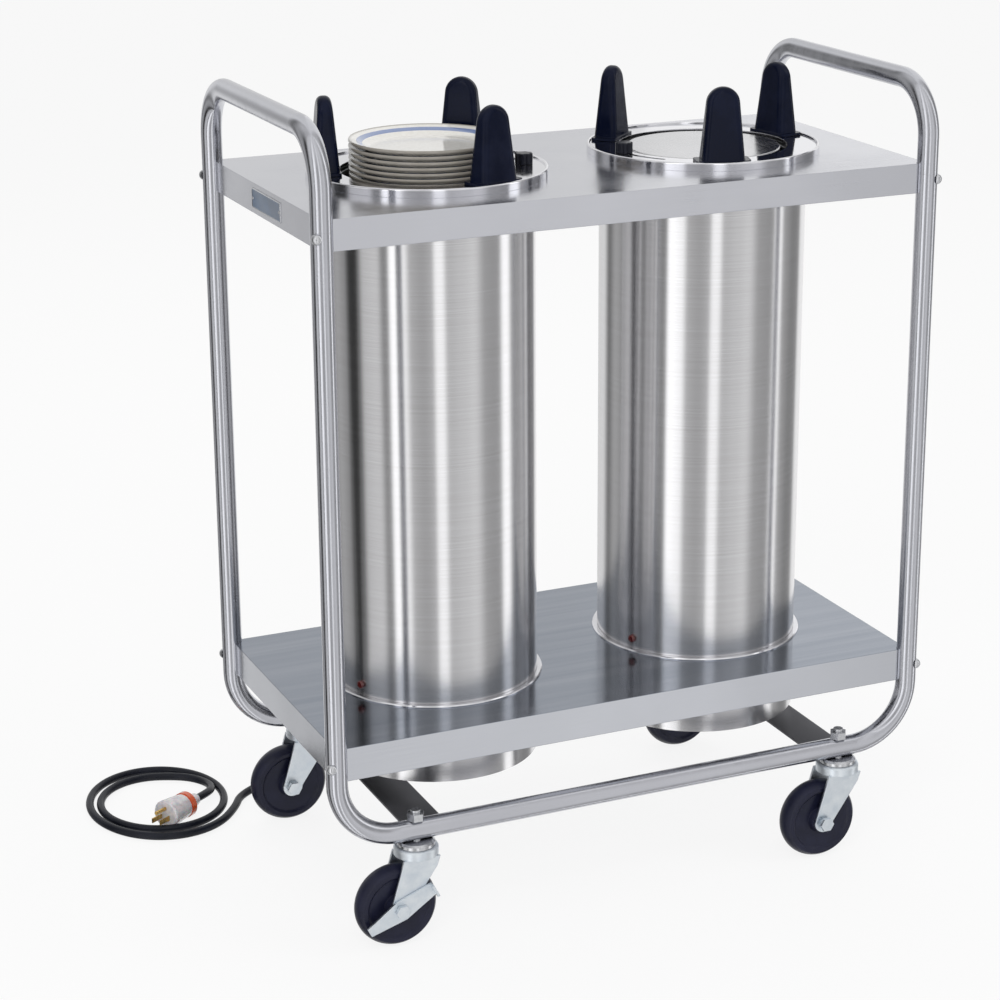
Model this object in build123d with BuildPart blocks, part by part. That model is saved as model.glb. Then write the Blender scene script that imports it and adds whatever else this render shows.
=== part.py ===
from build123d import *
from math import acos, atan2, cos, hypot, pi, radians, sin, sqrt, tan
import os

# Heated plate dispenser: two self-levelling silos in an open tube trolley.
# Millimetres. X runs along the trolley, Y to its rear, Z up. The origin is on the floor at its centre.

# Tube frame
TUBE_OD = 25.4
TUBE_WALL = 1.65
FRAME_LENGTH = 770.0  # between the uprights' axes, along X
FRAME_DEPTH = 385.0  # between the uprights' axes, along Y
TOP_DECK_Z = 883.0  # floor to the top deck
HANDLE_RISE = 107.0  # from the top deck to the top of the handle bars
FRAME_HEIGHT = TOP_DECK_Z + HANDLE_RISE
RAIL_Z = 142.0  # axis of the bottom rails
RAIL_BEND = 75.0
HANDLE_BEND = 63.5
SPLICE_DROP = 12.0  # the handle's joint below the top deck
SPIGOT_LENGTH = 60.0
SPIGOT_GAP = 0.1

# Decks
LOWER_DECK_Z = 260.0
SHEET = 1.5
TOP_FLANGE = 36.0
LOWER_FLANGE = 41.0
DECK_LIP = 12.0
NOTCH_GAP = 0.3
DECK_HOLE_GAP = 1.5

# Corner bolts
BOLT_DIA = 6.0
BOLT_CLEARANCE = 0.2
BOLT_DROP = 19.0  # below each deck's top
BOLT_HEAD_DIA = 13.0
BOLT_HEAD_HEIGHT = 5.5
GUSSET_WING = 42.0
GUSSET_THICK = 2.5
GUSSET_GAP = 0.2
WELD_NUT = 5.0
WELD_NUT_FLATS = 10.0

# Braces between the bottom rails
STRIP_INSET = 112.0  # from the uprights' axes
STRIP_X = FRAME_LENGTH / 2 - STRIP_INSET
STRIP_WIDTH = 50.0
STRIP_THICK = 3.0

# Casters
CASTER_INSET = 97.0  # from the uprights' axes
CASTER_X = FRAME_LENGTH / 2 - CASTER_INSET
CASTER_TRAIL = 28.0
WHEEL_DIA = 101.6
WHEEL_WIDTH = 28.0
HUB_WIDTH = 33.0
HUB_DIA = 34.0
AXLE_DIA = 10.0
RUNNING_GAP = 0.08
STEM_DIA = 12.0
STEM_NUT = 9.0
STEM_NUT_FLATS = 19.0
RACE_DIA = 46.0
RACE_HEIGHT = 6.0
HEAD_DIA = 54.0
HEAD_HEIGHT = 11.0
HEAD_GAP = 0.3
FORK_SHEET = 3.0
FORK_HUB_GAP = 0.6
FORK_EYE_DIA = 26.0
KINGPIN_DIA = 12.0
BRAKE_SHEET = 3.0
BRAKE_GAP = 0.3
BRAKE_TOE = 46.0
BRAKE_HEEL = 47.0
BRAKE_RISE = 27.0  # degrees, from the toe up to the heel

# Silos
SILO_SPACING = 366.0
SILO_OD = 255.0
SILO_WALL = 1.2
SILO_BOTTOM_Z = 161.0
INSULATION_SPACE = 9.3
LINER_OD = SILO_OD - 2 * (SILO_WALL + INSULATION_SPACE)
LINER_WALL = 0.9
BASE_PAN_SHEET = 1.5
BASE_PAN_RIM = 14.0
FIT_GAP = 0.3
TRIM_RING_WIDTH = 6.5
TRIM_RING_OD = SILO_OD + 2 * TRIM_RING_WIDTH
TRIM_RING_HEIGHT = 2.5

# Collars and the plate adjusters on them
COLLAR_OVERHANG = 15.5
COLLAR_WIDTH = 39.0
COLLAR_OD = SILO_OD + 2 * COLLAR_OVERHANG
COLLAR_HEIGHT = 7.3
COLLAR_BEAD = 2.7  # the bead's rise above the collar's plate
COLLAR_BEAD_WIDTH = 4.0
COLLAR_BORE = COLLAR_OD - 2 * COLLAR_WIDTH
COLLAR_LIP = 4.5
SHELL_FLANGE = 12.5
SHELL_FLANGE_OD = SILO_OD + 2 * SHELL_FLANGE
RING_THICK = 4.0
POST_INSET = 23.0  # from the collar's edge
POST_RADIUS = COLLAR_OD / 2 - POST_INSET
POST_WIDTH = 52.0
POST_TOP_WIDTH = 40.0
POST_DEPTH = 30.0
POST_TOP_DEPTH = 16.0
POST_HEIGHT = 86.0
POST_EDGE = 7.0
FOOT_HEIGHT = 3.0
FOOT_LENGTH = 66.0
FOOT_DEPTH = 32.0
PIN_DIA = 6.0
PIN_INSET = 12.0  # from the collar's edge
PIN_RADIUS = COLLAR_OD / 2 - PIN_INSET
PIN_GAP = 0.2
POST_TRAVEL = 22.0
RING_SWING = 30.0  # degrees, for the full post travel
LEFT_POST_ANGLES = (-73.0, 47.0, 167.0)
RIGHT_POST_ANGLES = (-107.0, 13.0, 133.0)
CLAMP_INSET = 27.0  # from the collar's edge
CLAMP_RADIUS = COLLAR_OD / 2 - CLAMP_INSET
CLAMP_DIA = 21.0
CLAMP_HEIGHT = 13.0
LEFT_CLAMP_ANGLE = -13.0
RIGHT_CLAMP_ANGLE = 187.0

# Carriers, their guides and springs
CARRIER_SLACK = 1.1  # between the lower ring and the liner
CARRIER_RING_OD = LINER_OD - 2 * (LINER_WALL + CARRIER_SLACK)
CARRIER_INSET = 20.0  # from the lower ring's edge to the platform's
CARRIER_DIA = CARRIER_RING_OD - 2 * CARRIER_INSET
CARRIER_SHEET = 2.0
CARRIER_RIM = 10.0
CARRIER_DROP = 170.0  # platform to the lower ring
CARRIER_LEG_WIDTH = 22.0
CARRIER_LEG_THICK = 3.0
CARRIER_RING_WIDTH = 40.0
CARRIER_RING_BORE = CARRIER_RING_OD - 2 * CARRIER_RING_WIDTH
CARRIER_RING_THICK = 3.0
CARRIER_TOP = 6.0  # the right platform's top above the deck
LEFT_CARRIER_SINK = 52.0  # how far the plates press the left one down
BUSH_OD = 14.5
BUSH_HEIGHT = 26.0
ROD_DIA = 8.0
ROD_INSET = 7.6  # from the liner's bore
ROD_RADIUS = LINER_OD / 2 - LINER_WALL - ROD_INSET
ROD_GAP = 0.3
ANCHOR_THICK = 3.0
SPRING_OD = 11.0
SPRING_BORE = 7.0
SPRING_RADIUS = ROD_RADIUS
GUIDE_COUNT = 3

# Plates
PLATE_CLEARANCE = 12.0  # between a plate and the collar's bore
PLATE_DIA = COLLAR_BORE - 2 * PLATE_CLEARANCE
PLATE_PITCH = 6.6
PLATE_COUNT = 12
PLATE_GAP = 0.3
PLATE_RIM_WIDTH = 32.0
PLATE_WELL = PLATE_DIA / 2 - PLATE_RIM_WIDTH  # radius of the flat well
PLATE_RISE = 13.0
PLATE_EDGE = 4.0

# Heater, controls and wiring
ELEMENT_INSET = 39.0  # from the liner
ELEMENT_RADIUS = LINER_OD / 2 - ELEMENT_INSET
ELEMENT_DIA = 8.0
ELEMENT_Z = 184.0
ELEMENT_GAP_ANGLE = 24.0
BOX_WIDTH = 96.0
BOX_BOTTOM_Z = 169.0
BOX_TOP_Z = 214.0
BOX_DEPTH = 32.5  # from the silo's skin
BOX_FACE_Y = SILO_OD / 2 + BOX_DEPTH
BOX_SHEET = 1.5
KNOB_OFFSET = 20.0  # from the box's centre, along X
KNOB_DIA = 30.0
KNOB_HEIGHT = 16.0
KNOB_GAP = 0.5
SHAFT_DIA = 6.0
THERMOSTAT_SIZE = (30.0, 18.0, 28.0)
LAMP_DIA = 10.0
INSULATION_START = 30.0  # above the lower deck, clear of the pilot lamps
LAMP_HEIGHT = 4.0
LAMP_ANGLE = -156.0
LAMP_Z = 276.0
CONDUIT_DIA = 14.0
GLAND_OFFSET = -30.0
GLAND_DIA = 20.0
GLAND_NUT = 10.0
RELIEF_LENGTH = 30.0

# Supply cord: the lead's points are chosen by hand, the coil's turns come from a formula
CORD_DIA = 10.5
CORD_LIFT = 0.05
CORD_RUN = 32.0  # the straight run into the coil
GLAND_RUN = 28.0  # the straight run out of the gland
LEAD_DROP = ((-212, 253, 180), (-212, 271, 157), (-213, 281, 130), (-214, 284, 94),
             (-215, 286, 59), (-225, 288, 34), (-244, 291, 15.5))
LEAD_FLOOR = ((-268, 294), (-296, 298), (-325, 292))
COIL_X = -461.0
COIL_Y = 300.0
COIL_HALF_X = 100.0
COIL_HALF_Y = 120.0
COIL_STEP_X = 14.0  # drawn in per turn
COIL_STEP_Y = 23.0
COIL_START = -30.0  # degrees
COIL_QUARTERS = 7
PLUG_RUN = 27.0  # the straight runs out of the coil and into the plug
PLUG_TURN = ((-387, 328.5, 6.3), (-387.6, 300, 10.5))
PLUG_BACK = (-423.0, 261.0)
PLUG_HEADING = 215.0  # degrees in plan
PLUG_TILT = 2.5
PLUG_RADIUS = 19.0
PLUG_LENGTH = 64.0
PLUG_NOSE = 18.0
PLUG_NOSE_RADIUS = 8.0
PLUG_RING = 8.0
PLUG_RING_RADIUS = 17.0
PRONG_LENGTH = 19.0
BLADE_WIDTH = 6.3
BLADE_THICK = 1.6
BLADE_SPACING = 12.7
EARTH_PIN_DIA = 4.8
EARTH_PIN_OFFSET = 11.9

half_length = FRAME_LENGTH / 2
half_depth = FRAME_DEPTH / 2
tube_radius = TUBE_OD / 2
splice_z = TOP_DECK_Z - SPLICE_DROP
silo_radius = SILO_OD / 2
silo_bore_radius = silo_radius - SILO_WALL
collar_top_z = TOP_DECK_Z + COLLAR_HEIGHT
rail_bottom_z = RAIL_Z - tube_radius
rail_top_z = RAIL_Z + tube_radius
ends = {"left": -1, "right": 1}
rows = {"front": -1, "rear": 1}
silo_x = {"left": -SILO_SPACING / 2, "right": SILO_SPACING / 2}
post_angles = {"left": LEFT_POST_ANGLES, "right": RIGHT_POST_ANGLES}
clamp_angle = {"left": LEFT_CLAMP_ANGLE, "right": RIGHT_CLAMP_ANGLE}

os.makedirs("parts", exist_ok=True)


def save(builder, node):
    builder.part.label = node
    export_step(builder.part, f"parts/{node}.step")


def upright_plane(x, y=0.0, z=0.0):
    """A sketch plane through a vertical axis: its X points right, its Y up."""
    return Plane(origin=(x, y, z), x_dir=(1, 0, 0), z_dir=(0, -1, 0))


def vertical_axis(x, y=0.0):
    return Axis((x, y, 0), (0, 0, 1))


def corner_plane(end, row, z):
    """A sketch plane at a corner: its X points out along the corner's diagonal, its Y up."""
    return Plane(origin=(end * half_length, row * half_depth, z), x_dir=(end, row, 0), z_dir=(row, -end, 0))


def radial_plane(side, angle, radius, z):
    """A sketch plane on a silo's collar: its X points outward, its Y along the rim, its normal up."""
    out = (cos(radians(angle)), sin(radians(angle)), 0)
    return Plane(origin=(silo_x[side] + radius * out[0], radius * out[1], z), x_dir=out, z_dir=(0, 0, 1))


# Tube frame

bolt_levels = (TOP_DECK_Z - BOLT_DROP, LOWER_DECK_Z - BOLT_DROP)


def bolt_plane(end, row, z):
    """A sketch plane at a corner that faces out along the corner's diagonal."""
    along = corner_plane(end, row, z)
    return Plane(origin=along.origin, z_dir=along.x_dir)


for row_name, row in rows.items():
    y = row * half_depth
    with BuildPart() as base_hoop:
        with BuildLine() as route:
            FilletPolyline(
                (-half_length, y, splice_z),
                (-half_length, y, RAIL_Z),
                (half_length, y, RAIL_Z),
                (half_length, y, splice_z),
                radius=RAIL_BEND,
            )
        with BuildSketch(Plane(origin=route.line @ 0, z_dir=route.line % 0)):
            Circle(tube_radius)
            Circle(tube_radius - TUBE_WALL, mode=Mode.SUBTRACT)
        sweep()
        with BuildSketch(Plane.XY.offset(RAIL_Z)):
            with Locations((-CASTER_X, y), (CASTER_X, y)):
                Circle(STEM_DIA / 2 + BOLT_CLEARANCE)
        extrude(amount=TUBE_OD, both=True, mode=Mode.SUBTRACT)
        for end in ends.values():
            for z in bolt_levels:
                with BuildSketch(bolt_plane(end, row, z)):
                    Circle(BOLT_DIA / 2 + BOLT_CLEARANCE)
                extrude(amount=tube_radius + 1, both=True, mode=Mode.SUBTRACT)
    save(base_hoop, f"{row_name}_base_hoop")

handle_top = FRAME_HEIGHT - tube_radius
spigot_radius = tube_radius - TUBE_WALL - SPIGOT_GAP

for end_name, end in ends.items():
    x = end * half_length
    with BuildPart() as handle_hoop:
        with BuildLine() as route:
            FilletPolyline(
                (x, -half_depth, splice_z),
                (x, -half_depth, handle_top),
                (x, half_depth, handle_top),
                (x, half_depth, splice_z),
                radius=HANDLE_BEND,
            )
        with BuildSketch(Plane(origin=route.line @ 0, z_dir=route.line % 0)):
            Circle(tube_radius)
            Circle(tube_radius - TUBE_WALL, mode=Mode.SUBTRACT)
        sweep()
        # Each leg steps in to a spigot that sits inside the upright below it.
        with BuildSketch(Plane.XY.offset(splice_z)):
            with Locations((x, -half_depth), (x, half_depth)):
                Circle(tube_radius)
                Circle(spigot_radius - TUBE_WALL, mode=Mode.SUBTRACT)
        extrude(amount=2 * TUBE_WALL)
        with BuildSketch(Plane.XY.offset(splice_z - SPIGOT_LENGTH)):
            with Locations((x, -half_depth), (x, half_depth)):
                Circle(spigot_radius)
                Circle(spigot_radius - TUBE_WALL, mode=Mode.SUBTRACT)
        extrude(amount=SPIGOT_LENGTH)
        for row in rows.values():
            with BuildSketch(bolt_plane(end, row, bolt_levels[0])):
                Circle(BOLT_DIA / 2 + BOLT_CLEARANCE)
            extrude(amount=tube_radius + 1, both=True, mode=Mode.SUBTRACT)
    save(handle_hoop, f"{end_name}_handle_hoop")


# Decks, their corner gussets and bolts

deck_hole_radius = silo_radius + DECK_HOLE_GAP
notch_radius = tube_radius + NOTCH_GAP
deck_corners = [(end * half_length, row * half_depth) for end in ends.values() for row in rows.values()]


def deck_outline(inset):
    Rectangle(FRAME_LENGTH - 2 * inset, FRAME_DEPTH - 2 * inset)
    with Locations(*deck_corners):
        Circle(notch_radius + inset, mode=Mode.SUBTRACT)


for deck_name, top_z, flange in (
    ("top_deck", TOP_DECK_Z, TOP_FLANGE),
    ("lower_deck", LOWER_DECK_Z, LOWER_FLANGE),
):
    with BuildPart() as deck:
        with BuildSketch(Plane.XY.offset(top_z)):
            deck_outline(0)
        extrude(amount=-flange)
        with BuildSketch(Plane.XY.offset(top_z - SHEET)):
            deck_outline(SHEET)
        extrude(amount=-(flange - 2 * SHEET), mode=Mode.SUBTRACT)
        with BuildSketch(Plane.XY.offset(top_z - flange)):
            deck_outline(SHEET + DECK_LIP)
        extrude(amount=SHEET, mode=Mode.SUBTRACT)
        with BuildSketch(Plane.XY.offset(top_z)):
            with Locations(*[(x, 0) for x in silo_x.values()]):
                Circle(deck_hole_radius)
        extrude(amount=-SHEET, mode=Mode.SUBTRACT)
        for end in ends.values():
            for row in rows.values():
                with BuildSketch(bolt_plane(end, row, top_z - BOLT_DROP)):
                    Circle(BOLT_DIA / 2 + BOLT_CLEARANCE)
                extrude(amount=-(notch_radius + 3 * SHEET), mode=Mode.SUBTRACT)
    save(deck, deck_name)

gusset_face = notch_radius + SHEET + GUSSET_GAP  # from the tube's axis to the gusset, along the diagonal
gusset_back = gusset_face + GUSSET_THICK
gusset_inset = SHEET + GUSSET_GAP
deck_levels = ((TOP_DECK_Z, TOP_FLANGE), (LOWER_DECK_Z, LOWER_FLANGE))


def gusset_outline(end, row):
    """A bent plate in plan: a diagonal face behind the tube and a wing along each flange."""

    def at(along_x, along_y):
        return (end * (half_length - along_x), row * (half_depth - along_y))

    near, far = gusset_inset, gusset_inset + GUSSET_THICK
    face = gusset_face * sqrt(2) - near
    back = gusset_back * sqrt(2) - far
    corners = [at(near, face), at(near, GUSSET_WING), at(far, GUSSET_WING), at(far, back)]
    corners += [at(back, far), at(GUSSET_WING, far), at(GUSSET_WING, near), at(face, near)]
    with BuildLine() as outline:
        Polyline(*corners, close=True)
    make_face(outline.edges())


with BuildPart() as gussets:
    for top_z, flange in deck_levels:
        gusset_top = top_z - SHEET - GUSSET_GAP
        gusset_height = flange - 2 * SHEET - 2 * GUSSET_GAP
        for end in ends.values():
            for row in rows.values():
                with BuildSketch(Plane.XY.offset(gusset_top)):
                    gusset_outline(end, row)
                extrude(amount=-gusset_height)
                along = corner_plane(end, row, top_z - BOLT_DROP)
                inward = Plane(origin=along.origin - gusset_back * along.x_dir, z_dir=-along.x_dir)
                with BuildSketch(inward):
                    RegularPolygon(radius=WELD_NUT_FLATS / 2, side_count=6, major_radius=False)
                extrude(amount=WELD_NUT)
                with BuildSketch(Plane(origin=along.origin, z_dir=-along.x_dir)):
                    Circle(BOLT_DIA / 2 + BOLT_CLEARANCE)
                extrude(amount=gusset_back + 2 * WELD_NUT, mode=Mode.SUBTRACT)
save(gussets, "deck_corner_gussets")

with BuildPart() as bolts:
    for top_z, flange in deck_levels:
        for end in ends.values():
            for row in rows.values():
                along = corner_plane(end, row, top_z - BOLT_DROP)
                bolt_end = -(gusset_back + WELD_NUT + 2)
                with BuildSketch(along):
                    with BuildLine():
                        head_base = (tube_radius, BOLT_HEAD_DIA / 2)
                        head_tip = (tube_radius + BOLT_HEAD_HEIGHT, 0)
                        Line((bolt_end, 0), (bolt_end, BOLT_DIA / 2))
                        Line((bolt_end, BOLT_DIA / 2), (tube_radius, BOLT_DIA / 2))
                        Line((tube_radius, BOLT_DIA / 2), head_base)
                        TangentArc(head_tip, head_base, tangent=(0, 1))
                        Line(head_tip, (bolt_end, 0))
                    make_face()
                revolve(axis=Axis(along.origin, along.x_dir))
save(bolts, "deck_bolts")

with BuildPart() as strips:
    for end in ends.values():
        with BuildSketch(Plane.XY.offset(RAIL_Z - STRIP_THICK / 2)):
            with Locations((end * STRIP_X, 0)):
                Rectangle(STRIP_WIDTH, FRAME_DEPTH - TUBE_OD)
        extrude(amount=STRIP_THICK)
save(strips, "cross_strips")


# Casters

axle_z = WHEEL_DIA / 2
caster_places = {
    f"{row_name}_{end_name}": (end * CASTER_X, row * half_depth, row)
    for row_name, row in rows.items()
    for end_name, end in ends.items()
}
race_bottom_z = rail_bottom_z - RACE_HEIGHT
head_top_z = race_bottom_z - HEAD_GAP
head_bottom_z = head_top_z - HEAD_HEIGHT
leg_inner = HUB_WIDTH / 2 + FORK_HUB_GAP
leg_outer = leg_inner + FORK_SHEET
kingpin_head_z = head_bottom_z - HEAD_GAP - 3

with BuildPart() as stems:
    for x, y, row in caster_places.values():
        with BuildSketch(upright_plane(x, y)):
            with BuildLine():
                Polyline(
                    (0, kingpin_head_z),
                    (KINGPIN_DIA * 0.75, kingpin_head_z),
                    (KINGPIN_DIA * 0.75, kingpin_head_z + 3),
                    (KINGPIN_DIA / 2, kingpin_head_z + 3),
                    (KINGPIN_DIA / 2, race_bottom_z),
                    (RACE_DIA / 2, race_bottom_z),
                    (RACE_DIA / 2, rail_bottom_z - 2),
                    (RACE_DIA / 2 - 3, rail_bottom_z),
                    (STEM_DIA / 2, rail_bottom_z),
                    (STEM_DIA / 2, rail_top_z + STEM_NUT + 4),
                    (0, rail_top_z + STEM_NUT + 4),
                    close=True,
                )
            make_face()
        revolve(axis=vertical_axis(x, y))
save(stems, "caster_stems")

with BuildPart() as stem_nuts:
    for x, y, row in caster_places.values():
        with BuildSketch(Plane.XY.offset(rail_top_z)):
            with Locations((x, y)):
                RegularPolygon(radius=STEM_NUT_FLATS / 2, side_count=6, major_radius=False)
                Circle(STEM_DIA / 2 + RUNNING_GAP, mode=Mode.SUBTRACT)
        extrude(amount=STEM_NUT)
save(stem_nuts, "caster_stem_nuts")


def leg_outline():
    """One fork leg seen from the side, drawn about its axle with the stem behind it."""
    eye = FORK_EYE_DIA / 2
    top = head_bottom_z - axle_z
    with BuildLine() as outline:
        Polyline((-eye, 0), (CASTER_TRAIL - HEAD_DIA / 2 + 4, top), (CASTER_TRAIL + HEAD_DIA / 2 - 4, top),
                 (CASTER_TRAIL + HEAD_DIA / 2 - 8, top - 12), (eye, 0))
        ThreePointArc((-eye, 0), (0, -eye), (eye, 0))
    make_face(outline.edges())


def wheel_profile():
    """Half the wheel's section: its X is the distance from the axle, its Y along the axle."""
    outer, half, hub = WHEEL_DIA / 2, WHEEL_WIDTH / 2, HUB_DIA / 2
    bore = AXLE_DIA / 2 + RUNNING_GAP
    with BuildLine() as outline:
        Line((bore, HUB_WIDTH / 2), (hub - 3, HUB_WIDTH / 2))
        Line((hub - 3, HUB_WIDTH / 2), (hub, half - 5))
        Line((hub, half - 5), (outer - 14, half - 3))
        Line((outer - 14, half - 3), (outer - 11, half))
        Line((outer - 11, half), (outer - 6, half))
        ThreePointArc((outer - 6, half), (outer, 0), (outer - 6, -half))
        Line((outer - 6, -half), (outer - 11, -half))
        Line((outer - 11, -half), (outer - 14, 3 - half))
        Line((outer - 14, 3 - half), (hub, 5 - half))
        Line((hub, 5 - half), (hub - 3, -HUB_WIDTH / 2))
        Line((hub - 3, -HUB_WIDTH / 2), (bore, -HUB_WIDTH / 2))
        Line((bore, -HUB_WIDTH / 2), (bore, HUB_WIDTH / 2))
    make_face(outline.edges())


def lever_outline():
    """The brake lever seen along its axle: a toe down by the tread and a broad heel up behind."""
    with BuildLine() as outline:
        Polyline((-BRAKE_TOE, -5), (-BRAKE_TOE, 6), (0, 14), (BRAKE_HEEL, 9), (BRAKE_HEEL, -7), (0, -13),
                 close=True)
    make_face(outline.edges())


braked = ("front_left", "rear_right")
bolt_head = 5.5
bolt_reach = leg_outer + BRAKE_GAP + BRAKE_SHEET + BRAKE_GAP

for place, (x, y, row) in caster_places.items():
    axle_x = x - CASTER_TRAIL
    with BuildPart() as fork:
        with BuildSketch(Plane.XY.offset(head_bottom_z)):
            with Locations((x, y)):
                Circle(HEAD_DIA / 2)
        extrude(amount=HEAD_HEIGHT)
        fillet(fork.edges().group_by(Axis.Z)[-1], HEAD_HEIGHT / 3)
        with BuildSketch(Plane(origin=(axle_x, y, axle_z), x_dir=(1, 0, 0), z_dir=(0, -1, 0))):
            leg_outline()
        extrude(amount=leg_outer, both=True)
        with BuildSketch(Plane(origin=(axle_x, y, axle_z), x_dir=(1, 0, 0), z_dir=(0, -1, 0))):
            with Locations((CASTER_TRAIL / 2, -axle_z + head_bottom_z / 2)):
                Rectangle(4 * HEAD_DIA, head_bottom_z)
        extrude(amount=leg_inner, both=True, mode=Mode.SUBTRACT)
        with BuildSketch(Plane.XY.offset(head_bottom_z)):
            with Locations((x, y)):
                Circle(KINGPIN_DIA / 2 + RUNNING_GAP)
        extrude(amount=HEAD_HEIGHT, mode=Mode.SUBTRACT)
        with BuildSketch(Plane(origin=(axle_x, y, axle_z), x_dir=(1, 0, 0), z_dir=(0, -1, 0))):
            Circle(AXLE_DIA / 2 + RUNNING_GAP)
        extrude(amount=leg_outer, both=True, mode=Mode.SUBTRACT)
        # The axle bolt and its nut lie in the fork's node as their own solid.
        with BuildSketch(Plane(origin=(axle_x, y - bolt_reach, axle_z), z_dir=(0, 1, 0))):
            Circle(AXLE_DIA / 2)
        extrude(amount=2 * bolt_reach)
        for face_y, out in ((y - bolt_reach, (0, -1, 0)), (y + bolt_reach, (0, 1, 0))):
            with BuildSketch(Plane(origin=(axle_x, face_y, axle_z), x_dir=(1, 0, 0), z_dir=out)):
                RegularPolygon(radius=8, side_count=6, major_radius=False)
            extrude(amount=bolt_head)
    save(fork, f"{place}_fork")

    with BuildPart() as wheel:
        with BuildSketch(Plane(origin=(axle_x, y, axle_z), x_dir=(1, 0, 0), z_dir=(0, 0, 1))):
            wheel_profile()
        revolve(axis=Axis((axle_x, y, axle_z), (0, 1, 0)))
    save(wheel, f"{place}_wheel")

    if place in braked:
        lever_y = y + row * (leg_outer + BRAKE_GAP)
        rise = radians(BRAKE_RISE)
        face = Plane(origin=(axle_x, lever_y, axle_z), x_dir=(cos(rise), 0, sin(rise)), z_dir=(0, -1, 0))
        outward = -row * BRAKE_SHEET
        with BuildPart() as brake:
            with BuildSketch(face):
                lever_outline()
            extrude(amount=outward)
            # The tread pad is folded out along the heel.
            with BuildSketch(face):
                with Locations((BRAKE_HEEL - BRAKE_SHEET / 2, 1)):
                    Rectangle(BRAKE_SHEET, 16)
            extrude(amount=4 * outward)
            with BuildSketch(face):
                Circle(AXLE_DIA / 2 + RUNNING_GAP)
            extrude(amount=outward, mode=Mode.SUBTRACT)
        save(brake, f"{place}_brake_lever")


# Silo shells, liners, insulation and base pans

liner_radius = LINER_OD / 2
liner_bore_radius = liner_radius - LINER_WALL
pan_floor_z = SILO_BOTTOM_Z + BASE_PAN_SHEET
liner_bottom_z = pan_floor_z + FIT_GAP
anchor_top_z = TOP_DECK_Z - 0.5
anchor_bottom_z = anchor_top_z - ANCHOR_THICK
box_center_z = (BOX_BOTTOM_Z + BOX_TOP_Z) / 2
wire_hole_dia = 12.0
collar_radius = COLLAR_OD / 2
ring_bottom_z = TOP_DECK_Z + SILO_WALL + FIT_GAP
collar_bore_radius = COLLAR_BORE / 2


def lamp_plane(side):
    """A sketch plane on the silo's skin at its lamp, facing outward."""
    out = (cos(radians(LAMP_ANGLE)), sin(radians(LAMP_ANGLE)), 0)
    origin = (silo_x[side] + silo_radius * out[0], silo_radius * out[1], LAMP_Z)
    return Plane(origin=origin, x_dir=(-out[1], out[0], 0), z_dir=out)


for side, x in silo_x.items():
    with BuildPart() as shell:
        with BuildSketch(Plane.XY.offset(SILO_BOTTOM_Z)):
            with Locations((x, 0)):
                Circle(silo_radius)
        extrude(amount=TOP_DECK_Z - SILO_BOTTOM_Z)
        with BuildSketch(Plane.XY.offset(TOP_DECK_Z)):
            with Locations((x, 0)):
                Circle(SHELL_FLANGE_OD / 2)
        extrude(amount=SILO_WALL)
        with BuildSketch(Plane.XY.offset(SILO_BOTTOM_Z)):
            with Locations((x, 0)):
                Circle(silo_bore_radius)
        extrude(amount=TOP_DECK_Z + SILO_WALL - SILO_BOTTOM_Z, mode=Mode.SUBTRACT)
        with BuildSketch(Plane(origin=(x, 0, box_center_z), z_dir=(0, 1, 0))):
            Circle(wire_hole_dia / 2)
        extrude(amount=2 * silo_radius, mode=Mode.SUBTRACT)
        with BuildSketch(lamp_plane(side)):
            Circle(LAMP_DIA / 4)
        extrude(amount=-4 * SILO_WALL, mode=Mode.SUBTRACT)
    save(shell, f"{side}_silo_shell")

with BuildPart() as liners:
    for x in silo_x.values():
        with BuildSketch(Plane.XY.offset(liner_bottom_z)):
            with Locations((x, 0)):
                Circle(liner_radius)
                Circle(liner_bore_radius, mode=Mode.SUBTRACT)
        extrude(amount=anchor_bottom_z - liner_bottom_z)
        with BuildSketch(Plane(origin=(x, 0, box_center_z), z_dir=(0, 1, 0))):
            Circle(wire_hole_dia / 2)
        extrude(amount=2 * silo_radius, mode=Mode.SUBTRACT)
save(liners, "silo_liners")

insulation_bottom_z = LOWER_DECK_Z + SHEET + INSULATION_START
insulation_top_z = anchor_bottom_z - RUNNING_GAP
insulation_gap = 0.5
with BuildPart() as insulation:
    for x in silo_x.values():
        with BuildSketch(Plane.XY.offset(insulation_bottom_z)):
            with Locations((x, 0)):
                Circle(silo_bore_radius - insulation_gap)
                Circle(liner_radius + insulation_gap, mode=Mode.SUBTRACT)
        extrude(amount=insulation_top_z - insulation_bottom_z)
save(insulation, "silo_insulation")

with BuildPart() as pans:
    for x in silo_x.values():
        with BuildSketch(Plane.XY.offset(SILO_BOTTOM_Z)):
            with Locations((x, 0)):
                Circle(silo_bore_radius - RUNNING_GAP)
        extrude(amount=BASE_PAN_RIM)
        with BuildSketch(Plane.XY.offset(pan_floor_z)):
            with Locations((x, 0)):
                Circle(silo_bore_radius - RUNNING_GAP - BASE_PAN_SHEET)
        extrude(amount=BASE_PAN_RIM, mode=Mode.SUBTRACT)
        with BuildSketch(Plane.XY.offset(SILO_BOTTOM_Z)):
            with Locations((x, 0)):
                with PolarLocations(40, 8):
                    Circle(5)
        extrude(amount=BASE_PAN_SHEET, mode=Mode.SUBTRACT)
save(pans, "silo_base_pans")

with BuildPart() as trim_rings:
    for x in silo_x.values():
        with BuildSketch(upright_plane(x, 0, LOWER_DECK_Z)):
            with BuildLine():
                inner = silo_radius + FIT_GAP
                outer = TRIM_RING_OD / 2
                Polyline((inner, 0), (outer, 0), (outer, TRIM_RING_HEIGHT / 2),
                         (outer - TRIM_RING_HEIGHT / 2, TRIM_RING_HEIGHT), (inner, TRIM_RING_HEIGHT), close=True)
            make_face()
        revolve(axis=vertical_axis(x))
save(trim_rings, "lower_trim_rings")

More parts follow.
